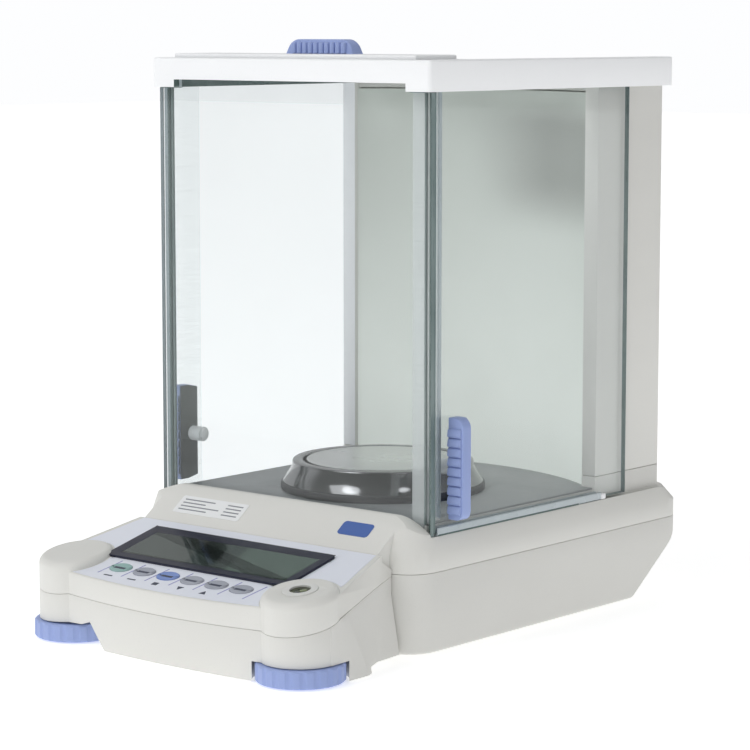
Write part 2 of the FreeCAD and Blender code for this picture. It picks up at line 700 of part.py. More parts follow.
def earth_terminal():
    post = cylinder_y(20, TOWER_REAR, TOWER_REAR + 8, 100, 2.0)
    nut = cylinder_y(20, TOWER_REAR, TOWER_REAR + 3.5, 100, 4.5)
    head = cylinder_y(20, TOWER_REAR + 5.5, TOWER_REAR + 9.5, 100, 4.0)
    return join([post, nut, head])


# ---------------------------------------------------------------- roof
def roof_frame():
    frame = rounded_block(-ROOF_HALF, ROOF_HALF, ROOF_FRONT, ROOF_REAR, 2.5,
                          ROOF_BOTTOM, ROOF_TOP)
    frame = frame.makeFillet(1.2, edges_at(frame, lambda e: e.BoundBox.ZMin > ROOF_TOP - 0.01))
    opening = box(-RAIL_INNER, RAIL_INNER, ROOF_FRONT + 3.5, TOWER_FRONT, 300, 340)
    under_bar = box(-RAIL_INNER, RAIL_INNER, ROOF_FRONT - 1, ROOF_FRONT + 5, 300, 314.7)
    door_bed = box(-TOP_GLASS_HALF - 0.5, TOP_GLASS_HALF + 0.5, ROOF_FRONT + 3.5,
                   ROOF_REAR + 5, TOP_GLASS_Z - 0.3, 340)
    grooves = door_groove(99.0, 103.6, 300, ROOF_BOTTOM + 3.4)
    return cut(frame, [opening, under_bar, door_bed] + grooves)


def top_door_glass():
    return box(-TOP_GLASS_HALF, TOP_GLASS_HALF, TOP_DOOR_FRONT, TOP_DOOR_REAR,
               TOP_GLASS_Z, TOP_GLASS_Z + GLASS)


def top_door_carrier():
    bar = box(-TOP_GLASS_HALF, TOP_GLASS_HALF, TOP_DOOR_FRONT, -30.0, TOP_GLASS_Z + GLASS,
              CARRIER_TOP)
    rim = edges_at(bar, lambda e: e.BoundBox.ZMin > CARRIER_TOP - 0.01)
    return bar.makeFillet(1.0, rim)


def ribs_along(start, end, pitch, make):
    count = int((end - start) / pitch)
    return [make(start + (index + 0.5) * (end - start) / count) for index in range(count)]


def top_door_handle():
    outline = [(-25.4, CARRIER_TOP), (25.4, CARRIER_TOP), (19.5, TOTAL_HEIGHT),
               (-19.5, TOTAL_HEIGHT)]
    grip = prism_y(outline, -42.5, -31.5)
    crown = edges_at(grip, lambda e: e.BoundBox.ZMin > TOTAL_HEIGHT - 0.01)
    grip = grip.makeFillet(1.8, crown)
    grooves = ribs_along(-20, 20, 4.4, lambda x: box(x - 0.7, x + 0.7, -44, -41.6,
                                                     CARRIER_TOP + 0.8, TOTAL_HEIGHT - 2.0))
    return cut(grip, grooves)


# ---------------------------------------------------------------- glass and side doors
def front_glass():
    return box(-DOOR_FACE, DOOR_FACE, FRONT_GLASS_FACE, FRONT_GLASS_FACE + GLASS,
               LEDGE, ROOF_BOTTOM - 0.2).fuse(
        box(-RAIL_INNER + 0.2, RAIL_INNER - 0.2, FRONT_GLASS_FACE, FRONT_GLASS_FACE + GLASS,
            ROOF_BOTTOM - 0.2, 318.0)).removeSplitter()


def corner_post():
    """Clear strip that holds the front glass and stiffens the corner."""
    low = FRONT_GLASS_FACE + GLASS
    post = box(POST_INNER, POST_OUTER, low, low + POST_DEPTH, LEDGE, ROOF_BOTTOM)
    return post.cut(box(0, PLATFORM_HALF + 0.2, DOOR_FRONT + 0.1, 0, 0, FLOOR_TOP + 0.1))


def side_door_glass():
    return box(DOOR_FACE - GLASS, DOOR_FACE, DOOR_FRONT, DOOR_REAR, LEDGE + 1.4, 312.4)


def side_door_rail():
    channel = box(98.9, 103.7, DOOR_FRONT + 1.6, DOOR_RAIL_REAR, LEDGE + 0.3, DOOR_RAIL_TOP)
    outer = edges_at(channel, lambda e: e.BoundBox.XMin > 103.6 and e.BoundBox.YLength > 50)
    channel = channel.makeFillet(0.7, outer)
    tongue = box(100.6, 102.2, DOOR_FRONT + 1.6, DOOR_RAIL_REAR, LEDGE - 0.9, LEDGE + 0.3)
    return join([channel, tongue]).cut(side_door_glass())


def side_door_handle():
    """Grip with a ribbed face to the front and a smooth, chamfered flank."""
    plan = [(DOOR_FACE, HANDLE_FRONT), (HANDLE_X - 1.2, HANDLE_FRONT + 3.2),
            (HANDLE_X, HANDLE_FRONT + 5.0), (HANDLE_X, HANDLE_REAR - 7.0),
            (DOOR_FACE + 2.6, HANDLE_REAR), (DOOR_FACE, HANDLE_REAR)]
    grip = prism_z(plan, HANDLE_LOW, HANDLE_HIGH)
    face = [(DOOR_FACE - 1, HANDLE_LOW - 1), (DOOR_FACE - 1, HANDLE_HIGH + 1),
            (HANDLE_X - 6.5, HANDLE_HIGH), (HANDLE_X, HANDLE_HIGH - 9.0),
            (HANDLE_X, HANDLE_LOW + 8.0), (HANDLE_X - 6.0, HANDLE_LOW)]
    grip = grip.common(prism_y(face, HANDLE_FRONT - 5, HANDLE_REAR + 5))
    grooves = ribs_along(HANDLE_LOW + 5, HANDLE_HIGH - 7, 4.6,
                         lambda z: cylinder_x(DOOR_FACE + 1.4, HANDLE_X - 1.0,
                                              HANDLE_FRONT - 0.2, z, 1.9))
    return cut(grip, grooves)


def side_door_knob():
    face = DOOR_FACE - GLASS
    stem = cylinder_x(face - 7.0, face, KNOB_Y, KNOB_Z, 2.6)
    head = cylinder_x(face - 8.5, face - 5.0, KNOB_Y, KNOB_Z, 4.4)
    head = head.makeFillet(0.9, edges_at(head, lambda e: e.BoundBox.XLength < 0.01))
    return join([stem, head])


# ---------------------------------------------------------------- weighing parts
def weighing_pan():
    dish = turned([(0, PAN_TOP), (PAN_R - 1.0, PAN_TOP), (PAN_R, PAN_TOP - 1.0),
                   (PAN_R, PAN_TOP - 4.0), (PAN_R - 1.0, PAN_TOP - 4.0),
                   (PAN_R - 1.0, PAN_TOP - 1.4), (0, PAN_TOP - 1.4)], 0, PAN_Y)
    hub = turned([(0, PAN_TOP - 1.2), (9.0, PAN_TOP - 1.2), (9.0, PAN_TOP - 6.0), (5.2, PAN_TOP - 6.0),
                  (4.0, PAN_TOP - 3.0), (0, PAN_TOP - 3.0)], 0, PAN_Y)
    return join([dish, hub])


def draft_ring():
    """Polished cone with a rolled rim around the pan."""
    z0 = FLOOR_TOP + BAND_HEIGHT
    profile = [(RING_BOTTOM_R - 1.4, z0), (RING_BOTTOM_R, z0), (RING_TOP_R, PAN_TOP - 3.0),
               (RING_TOP_R, PAN_TOP - 1.0), (RING_TOP_R - 1.0, PAN_TOP - 0.2),
               (RING_OPENING_R + 0.6, PAN_TOP - 0.2), (RING_OPENING_R, PAN_TOP - 0.8),
               (RING_OPENING_R, PAN_TOP - 2.0), (RING_TOP_R - 1.4, PAN_TOP - 2.2),
               (RING_TOP_R - 1.4, PAN_TOP - 3.0)]
    return turned(profile, 0, PAN_Y)


def ring_base():
    z0 = FLOOR_TOP
    profile = [(RING_BOTTOM_R - 6.0, z0), (RING_BOTTOM_R + 1.2, z0),
               (RING_BOTTOM_R + 1.2, z0 + BAND_HEIGHT - 0.5),
               (RING_BOTTOM_R + 0.7, z0 + BAND_HEIGHT), (RING_BOTTOM_R - 6.0, z0 + BAND_HEIGHT)]
    return turned(profile, 0, PAN_Y)


def pan_support():
    """Hanger of the weighing cell: a stem with a collar and a conical seat."""
    profile = [(0, 34.0), (4.0, 34.0), (4.0, 76.0), (10.0, 76.0), (10.0, 78.0), (5.0, 79.5),
               (4.8, PAN_TOP - 6.2), (3.8, PAN_TOP - 3.2), (0, PAN_TOP - 3.2)]
    return turned(profile, 0, PAN_Y)


def cell_frame():
    """Cast frame of the weighing cell, with two bearing blocks for the lever."""
    foot = box(-CELL_HALF, CELL_HALF, CELL_FRONT, CELL_REAR, CELL_BOTTOM, CELL_BOTTOM + 3.4)
    foot = foot.cut(cylinder(0, PAN_Y, CELL_BOTTOM - 2, CELL_BOTTOM + 6, 14.0))
    walls = both_sides(box(CELL_HALF - 5, CELL_HALF, CELL_FRONT, CELL_REAR,
                           CELL_BOTTOM + 3.4, CELL_BOTTOM + 30.4))
    bearings = both_sides(box(13, CELL_HALF - 5, LEVER_PIVOT_Y - 5, LEVER_PIVOT_Y + 5,
                              CELL_BOTTOM + 3.4, LEVER_PIVOT_Z + 4))
    pivot_hole = cylinder_x(-CELL_HALF - 5, CELL_HALF + 5, LEVER_PIVOT_Y, LEVER_PIVOT_Z,
                            LEVER_SHAFT_R + FIT)
    return join([foot] + walls + bearings).cut(pivot_hole)


def cell_lever():
    beam = box(-7, 7, PAN_Y + 5, MAGNET_Y + 8, LEVER_PIVOT_Z - 3, LEVER_PIVOT_Z + 3)
    shaft = cylinder_x(-26, 26, LEVER_PIVOT_Y, LEVER_PIVOT_Z, LEVER_SHAFT_R)
    fork = box(-10, 10, PAN_Y + 5, PAN_Y + 10, LEVER_PIVOT_Z - 5, LEVER_PIVOT_Z + 5)
    return join([beam, shaft, fork])


def force_coil():
    return turned([(9.0, 22.0), (13.0, 22.0), (13.0, 25.0), (9.0, 25.0)], 0, MAGNET_Y)


def magnet_pot():
    return turned([(0, 17.0), (20.0, 17.0), (20.0, 24.0), (15.5, 24.0), (15.5, 20.5),
                   (6.5, 20.5), (6.5, 24.0), (0, 24.0)], 0, MAGNET_Y)


def main_board():
    board = box(-85, -45, -40, 60, 12.0, 13.6)
    chips = [box(-78, -62, y, y + 16, 13.6, 16.0) for y in (-30, -4, 22)]
    return join([board] + chips)


def supply_board():
    board = box(42, 86, -30, 50, 12.0, 13.6)
    parts = [box(50, 70, 10, 36, 13.6, 30.0), cylinder(62, -12, 13.6, 34.0, 7.0)]
    return join([board] + parts)


def cover_screw(y):
    head = cylinder(SCREW_X, y, BASE_BOTTOM - 1.2, BASE_BOTTOM, SCREW_HEAD_R)
    head = head.makeFillet(0.5, edges_at(head, lambda e: e.BoundBox.ZMax < BASE_BOTTOM - 1.1))
    shank = cylinder(SCREW_X, y, BASE_BOTTOM, 18.0, SCREW_R)
    slot = prism_x([(y - 0.5, 0), (y + 0.5, 0), (y + 0.5, BASE_BOTTOM - 0.5),
                    (y - 0.5, BASE_BOTTOM - 0.5)], SCREW_X - 5, SCREW_X + 5)
    return join([head, shank]).cut(slot)


def screw_holes(z0, z1):
    return [cylinder(x, y, z0, z1, SCREW_R + FIT)
            for x in (-SCREW_X, SCREW_X) for y in (SCREW_FRONT_Y, SCREW_REAR_Y)]


# ---------------------------------------------------------------- the assembly
def side_pair(name, shape, nodes):
    nodes["right_" + name] = shape
    nodes["left_" + name] = mirrored(shape)


def all_nodes():
    nodes = {
        "base_lower_cover": base_lower_cover(),
        "chassis_plate": chassis_plate(),
        "base_upper_cover": base_upper_cover(),
        "chamber_floor": chamber_floor(),
        "hook_cover": hook_cover(),
        "console_lower_cover": console_lower_cover(),
        "console_upper_cover": console_upper_cover(),
        "membrane_panel": membrane_panel(),
        "display_bezel": display_bezel(),
        "display_window": display_window(),
        "display_module": display_module(),
        "key_board": key_board(),
        "level_ring": level_ring(),
        "level_vial": level_vial(),
        "tower_shell": tower_shell(),
        "chamber_back_panel": chamber_back_panel(),
        "power_inlet": power_inlet(),
        "data_socket": data_socket(),
        "earth_terminal": earth_terminal(),
        "roof_frame": roof_frame(),
        "front_glass": front_glass(),
        "top_door_glass": top_door_glass(),
        "top_door_carrier": top_door_carrier(),
        "top_door_handle": top_door_handle(),
        "weighing_pan": weighing_pan(),
        "draft_ring": draft_ring(),
        "ring_base": ring_base(),
        "pan_support": pan_support(),
        "cell_frame": cell_frame(),
        "cell_lever": cell_lever(),
        "force_coil": force_coil(),
        "magnet_pot": magnet_pot(),
        "main_board": main_board(),
        "supply_board": supply_board(),
    }
    for index, name in enumerate(KEY_NAMES):
        nodes[name] = key_cap(index)
    side_pair("rear_foot", rear_foot(), nodes)
    side_pair("front_screw", cover_screw(SCREW_FRONT_Y), nodes)
    side_pair("rear_screw", cover_screw(SCREW_REAR_Y), nodes)
    side_pair("foot_pad", foot_pad(1), nodes)
    side_pair("foot_wheel", foot_wheel(1), nodes)
    side_pair("corner_post", corner_post(), nodes)
    side_pair("door_glass", side_door_glass(), nodes)
    side_pair("door_rail", side_door_rail(), nodes)
    side_pair("door_handle", side_door_handle(), nodes)
    side_pair("door_knob", side_door_knob(), nodes)
    return nodes


def main():
    os.makedirs("parts", exist_ok=True)
    for name, shape in all_nodes().items():
        shape.exportStep("parts/" + name + ".step")
        bounds = shape.BoundBox
        print(name, len(shape.Solids), shape.isValid(), round(shape.Volume, 1),
              [round(value, 2) for value in (bounds.XMin, bounds.XMax, bounds.YMin,
                                             bounds.YMax, bounds.ZMin, bounds.ZMax)])


main()
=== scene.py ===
import json
import math

import bpy
from mathutils import Matrix, Vector

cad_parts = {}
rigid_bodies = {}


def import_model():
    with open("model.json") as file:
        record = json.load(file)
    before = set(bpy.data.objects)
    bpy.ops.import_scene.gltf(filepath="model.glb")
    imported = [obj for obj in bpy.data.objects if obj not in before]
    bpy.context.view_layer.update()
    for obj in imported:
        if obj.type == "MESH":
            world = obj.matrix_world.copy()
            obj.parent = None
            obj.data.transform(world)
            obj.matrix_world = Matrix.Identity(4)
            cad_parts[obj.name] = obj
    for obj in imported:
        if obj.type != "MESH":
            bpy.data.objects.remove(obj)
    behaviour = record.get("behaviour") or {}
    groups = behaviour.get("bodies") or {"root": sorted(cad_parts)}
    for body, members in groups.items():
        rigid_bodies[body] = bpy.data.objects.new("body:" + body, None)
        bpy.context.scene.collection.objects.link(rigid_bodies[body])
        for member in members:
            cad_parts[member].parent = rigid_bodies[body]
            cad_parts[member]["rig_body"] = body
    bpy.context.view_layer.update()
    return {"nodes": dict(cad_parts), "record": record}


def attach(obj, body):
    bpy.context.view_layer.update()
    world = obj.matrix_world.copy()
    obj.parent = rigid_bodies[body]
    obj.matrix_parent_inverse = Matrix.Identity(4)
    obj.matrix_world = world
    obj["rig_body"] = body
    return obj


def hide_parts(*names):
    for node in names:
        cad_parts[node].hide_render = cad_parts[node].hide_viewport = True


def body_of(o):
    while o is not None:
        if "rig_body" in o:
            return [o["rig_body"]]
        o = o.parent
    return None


# Analytical balance with a glass draught shield. +X is the user's right, +Y is the back.
# Meshes and patterns are in metres; sizes and places handed to the shaping helpers in millimetres.

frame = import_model()
nodes = frame["nodes"]
MM = 0.001
PAN_MIDDLE = (0.0, 15.0)


# ------------------------------------------------------------------ finishes
class Level:
    """A number that changes over a surface, written in ordinary sums."""

    def __init__(self, finish, socket):
        self.finish = finish
        self.socket = socket

    def sum_of(self, operation, first, second):
        made = self.finish.add("ShaderNodeMath", {"operation": operation}, {0: first, 1: second})
        return Level(self.finish, made.outputs[0])

    def __add__(self, other):
        return self.sum_of("ADD", self, other)

    def __radd__(self, other):
        return self.sum_of("ADD", other, self)

    def __sub__(self, other):
        return self.sum_of("SUBTRACT", self, other)

    def __rsub__(self, other):
        return self.sum_of("SUBTRACT", other, self)

    def __mul__(self, other):
        return self.sum_of("MULTIPLY", self, other)

    def __rmul__(self, other):
        return self.sum_of("MULTIPLY", other, self)

    def __pow__(self, other):
        return self.sum_of("POWER", self, other)


class Nodes:
    """A node tree being wired up."""

    def __init__(self, tree):
        self.tree = tree

    def add(self, kind, settings=None, sockets=None):
        """Any node: its settings first, then the values or links of its sockets."""
        made = self.tree.nodes.new(kind)
        for name, value in (settings or {}).items():
            if name == "stops":
                ramp = made.color_ramp
                while len(ramp.elements) < len(value):
                    ramp.elements.new(0.5)
                for element, (position, colour) in zip(ramp.elements, value):
                    element.position = position
                    element.color = colour
            else:
                setattr(made, name, value)
        for name, value in (sockets or {}).items():
            self.feed(made.inputs[name], value)
        return made

    def feed(self, socket, value):
        if isinstance(value, Level):
            value = value.socket
        if isinstance(value, bpy.types.NodeSocket):
            self.tree.links.new(value, socket)
        else:
            socket.default_value = value

    def level(self, kind, settings=None, sockets=None, out=0):
        return Level(self, self.add(kind, settings, sockets).outputs[out])

    def step(self, amount, start, end):
        """0 below start, 1 above end, and a soft rise between them."""
        made = self.add("ShaderNodeMapRange", {"interpolation_type": "SMOOTHSTEP"}, {
            "Value": amount, "From Min": start, "From Max": end})
        return Level(self, made.outputs[0])

    def blend(self, amount, first, second):
        """Two colours mixed by amount."""
        made = self.add("ShaderNodeMix", {"data_type": "RGBA"}, {0: amount, 6: first, 7: second})
        return made.outputs[2]


class Finish(Nodes):
    """One material: a main shader with even values on its sockets, and nodes that vary the rest."""

    def __init__(self, name, **even):
        self.material = bpy.data.materials.new(name)
        self.material.use_nodes = True
        Nodes.__init__(self, self.material.node_tree)
        self.shader = self.tree.nodes["Principled BSDF"]
        self.output = self.tree.nodes["Material Output"]
        for words, value in even.items():
            self.shader.inputs[words.replace("_", " ").title().replace("Ior", "IOR")] \
                .default_value = value
        self.place = self.add("ShaderNodeTexCoord").outputs["Object"]

    def stretched(self, x, y, z, turn=(0, 0, 0), shift=(0, 0, 0)):
        """The object's own coordinates, stretched along each axis."""
        made = self.add("ShaderNodeMapping", None, {
            "Vector": self.place, "Scale": (x, y, z), "Rotation": turn, "Location": shift})
        return made.outputs[0]

    def noise(self, scale, detail=3.0, roughness=0.5, place=None):
        return self.level("ShaderNodeTexNoise", None, {
            "Vector": place or self.place, "Scale": scale, "Detail": detail,
            "Roughness": roughness})

    def between(self, amount, low, high):
        """amount from 0 to 1, respread to run from low to high."""
        made = self.add("ShaderNodeMapRange", {"clamp": True}, {
            "Value": amount, "From Min": 0.3, "From Max": 0.7, "To Min": low, "To Max": high})
        return Level(self, made.outputs[0])

    def axis(self, name):
        return self.level("ShaderNodeSeparateXYZ", None, {0: self.place}, "XYZ".index(name))

    def set(self, name, value):
        self.feed(self.shader.inputs[name], value)

    def bump(self, height, strength, distance, under=None):
        sockets = {"Height": height, "Strength": strength, "Distance": distance}
        if under is not None:
            sockets["Normal"] = under
        made = self.add("ShaderNodeBump", None, sockets)
        self.set("Normal", made.outputs[0])
        return made.outputs[0]


def rgb(red, green, blue):
    return (red, green, blue, 1.0)


def moulded(name, colour, shade, roughness=0.42, grain=2600.0, depth=0.000020):
    """Injection-moulded plastic: spark texture, faint flow marks, and handled patches."""
    made = Finish(name, specular_ior_level=0.42)
    flow = made.noise(9.0, 4.0, 0.55, made.stretched(1.0, 1.0, 2.4))
    smudge = made.noise(34.0, 5.0, 0.62)
    spark = made.noise(grain, 2.0, 0.6)
    pits = made.noise(grain * 0.35, 2.0, 0.5)
    body = made.blend(made.between(flow, 0.0, 1.0), colour, shade)
    speck = made.step(pits, 0.62, 0.72) * 0.10
    made.set("Base Color", made.blend(speck, body, rgb(*[0.72 * c for c in colour[:3]])))
    made.set("Roughness", made.between(smudge, roughness - 0.06, roughness + 0.08)
             + spark * 0.05)
    made.bump(spark + pits * 0.6, 0.35, depth)
    return made


def metal(name, colour, roughness, stretch):
    """Machined or rolled metal with its grain along one axis."""
    made = Finish(name, metallic=1.0)
    grain = made.noise(1.0, 4.0, 0.7, made.stretched(*stretch))
    cloud = made.noise(18.0, 4.0, 0.6)
    dark = rgb(*[0.80 * c for c in colour[:3]])
    made.set("Base Color", made.blend(made.between(grain, 0.0, 1.0), dark, colour))
    made.set("Roughness", made.between(cloud, roughness, roughness + 0.08) + grain * 0.10)
    made.bump(grain, 0.25, 0.00001)
    return made


def turned_metal(name, colour, roughness, pitch):
    """Metal faced on a lathe: fine rings round the pan's middle."""
    made = Finish(name, metallic=1.0)
    flat = made.stretched(1.0, 1.0, 0.0, shift=(-PAN_MIDDLE[0] * MM, -PAN_MIDDLE[1] * MM, 0.0))
    radius = made.level("ShaderNodeVectorMath", {"operation": "LENGTH"}, {0: flat}, 1)
    rings = made.noise(1.0, 3.0, 0.7, made.add("ShaderNodeCombineXYZ", None, {
        0: radius * pitch}).outputs[0])
    cloud = made.noise(22.0, 4.0, 0.6)
    rub = made.noise(1.0, 3.0, 0.6, made.stretched(900.0, 60.0, 60.0, turn=(0, 0, 0.6)))
    dark = rgb(*[0.86 * c for c in colour[:3]])
    made.set("Base Color", made.blend(made.between(rings, 0.0, 1.0), dark, colour))
    made.set("Roughness", made.between(cloud, roughness, roughness + 0.07) + rings * 0.06
             + made.step(rub, 0.66, 0.76) * 0.08)
    made.bump(rings, 0.3, 0.000004)
    return made


def clear_glass(name, tint, haze=0.035, shine=0.85):
    """A clear pane: what is behind it, tinted, under its own reflection and a film of dust."""
    made = Finish(name)
    made.tree.nodes.remove(made.shader)
    through = made.add("ShaderNodeBsdfTransparent", None, {"Color": tint})
    film = made.noise(14.0, 5.0, 0.65)
    streaks = made.noise(1.0, 4.0, 0.6, made.stretched(30.0, 30.0, 5.0))
    mirror = made.add("ShaderNodeBsdfGlossy", None, {
        "Color": rgb(0.95, 0.98, 0.97),
        "Roughness": made.between(streaks, 0.02, 0.07)})
    side_on = made.level("ShaderNodeLayerWeight", None, {"Blend": 0.5}, 1)
    share = side_on ** 5.0 * shine + 0.03 + made.between(film, 0.0, haze)
    mixed = made.add("ShaderNodeMixShader", None, {
        0: share, 1: through.outputs[0], 2: mirror.outputs[0]})
    made.tree.links.new(mixed.outputs[0], made.output.inputs["Surface"])
    return made


def ground_edge(name, colour, dark):
    """The ground edge of a pane, where the green of the glass shows."""
    made = Finish(name, specular_ior_level=0.6, coat_weight=0.3, coat_roughness=0.2)
    grind = made.noise(1.0, 4.0, 0.7, made.stretched(400.0, 400.0, 30.0))
    chips = made.noise(1600.0, 2.0, 0.5)
    cloud = made.noise(20.0, 3.0, 0.5)
    body = made.blend(made.between(grind, 0.0, 1.0), dark, colour)
    made.set("Base Color", made.blend(made.between(cloud, 0.0, 0.35), body,
                                      rgb(0.34, 0.42, 0.41)))
    made.set("Roughness", made.between(grind, 0.22, 0.42))
    made.bump(grind + chips * 0.4, 0.3, 0.00003)
    return made


def rubber(name, colour, bright, roughness=0.62):
    made = Finish(name, specular_ior_level=0.35)
    grain = made.noise(1500.0, 3.0, 0.6)
    cloud = made.noise(60.0, 4.0, 0.6)
    made.set("Base Color", made.blend(made.between(cloud, 0.0, 1.0), colour, bright))
    made.set("Roughness", made.between(grain, roughness - 0.05, roughness + 0.1))
    made.bump(grain, 0.3, 0.00003)
    return made


def back_panel(name):
    """Satin sheet behind the chamber: paler and glowing low down as painted light, and a painted dark
    reflection high up.
    """
    made = Finish(name, specular_ior_level=0.45, emission_strength=0.30)
    # Painted light: towards the floor the sheet is paler and glows, standing in for light bounced into
    # the chamber.
    rise = made.step(made.axis("Z") + made.noise(6.0, 3.0, 0.5) * 0.02, 0.06, 0.31)
    cloud = made.noise(12.0, 4.0, 0.55)
    body = made.blend(rise, rgb(0.84, 0.88, 0.83), rgb(0.50, 0.53, 0.49))
    body = made.blend(made.between(cloud, 0.0, 0.4), body, rgb(0.62, 0.66, 0.61))
    # Painted reflection: a dark band high up on the right, darker and without the glow.
    painted_reflection_band = (made.step(made.axis("X"), -0.03, 0.05) * made.step(made.axis("Z"), 0.215, 0.255)
             * (1.0 - made.step(made.axis("Z"), 0.285, 0.305)))
    # Painted light: this glow stands in for bounced light, and is cut out under the painted reflection.
    glow = made.blend(rise, rgb(0.82, 0.87, 0.82), rgb(0.22, 0.24, 0.22))
    made.set("Emission Color", made.blend(painted_reflection_band, glow, rgb(0.0, 0.0, 0.0)))
    made.set("Base Color", made.blend(painted_reflection_band * 0.6, body, rgb(0.22, 0.23, 0.21)))
    made.set("Roughness", made.between(cloud, 0.30, 0.40))
    made.bump(made.noise(2600.0, 2.0, 0.5), 0.2, 0.000008)
    return made


def display_cell(name):
    """Unlit liquid crystal cell: brown-grey to green-grey, with faint dark columns."""
    made = Finish(name, specular_ior_level=0.3)
    across = made.axis("X") + made.axis("Y") * 0.25 + made.noise(30.0, 2.0, 0.5) * 0.002
    green = made.step(across, -0.052, -0.008)
    band = made.step(across, -0.050, -0.046) * (1.0 - made.step(across, -0.020, -0.014))
    left = made.step(across, -0.060, -0.058)
    body = made.blend(green, rgb(0.105, 0.092, 0.088), rgb(0.135, 0.165, 0.140))
    body = made.blend(band * left * 0.75, body, rgb(0.016, 0.022, 0.022))
    cells = made.noise(900.0, 2.0, 0.5)
    made.set("Base Color", body)
    made.set("Roughness", made.between(cells, 0.30, 0.36))
    made.bump(cells, 0.1, 0.000002)
    return made


def clear_strip(name):
    """Clear plastic strip with sawn flanks and a faint haze; the right-hand one is made paler and more
    opaque as a painted highlight.
    """
    made = Finish(name, base_color=(0.86, 0.89, 0.89, 1.0), specular_ior_level=0.6)
    saw = made.noise(1.0, 4.0, 0.7, made.stretched(60.0, 60.0, 900.0))
    made.set("Roughness", made.between(saw, 0.25, 0.45))
    through = made.add("ShaderNodeBsdfTransparent", None, {"Color": rgb(0.965, 0.975, 0.975)})
    # Painted highlight on the right-hand post, where x is above 0; the saw marks add a faint haze on both
    # posts.
    haze_and_painted_highlight = made.step(made.axis("X"), -0.01, 0.01) * 0.42 + made.between(saw, 0.02, 0.07)
    mixed = made.add("ShaderNodeMixShader", None, {
        0: haze_and_painted_highlight, 1: through.outputs[0], 2: made.shader.outputs[0]})
    made.tree.links.new(mixed.outputs[0], made.output.inputs["Surface"])
    return made


def board(name):
    """Circuit board: green mask over copper tracks."""
    made = Finish(name, specular_ior_level=0.5)
    tracks = made.level("ShaderNodeTexBrick", {"offset": 0.3}, {
        "Vector": made.stretched(160.0, 160.0, 1.0), "Scale": 1.0, "Mortar Size": 0.04}, 1)
    cloud = made.noise(40.0, 3.0, 0.5)
    body = made.blend(made.between(cloud, 0.0, 1.0), rgb(0.02, 0.12, 0.06),
                      rgb(0.03, 0.18, 0.09))
    made.set("Base Color", made.blend(tracks, body, rgb(0.10, 0.34, 0.16)))
    made.set("Roughness", made.between(cloud, 0.3, 0.45))
    made.bump(tracks, 0.2, 0.00004)
    return made


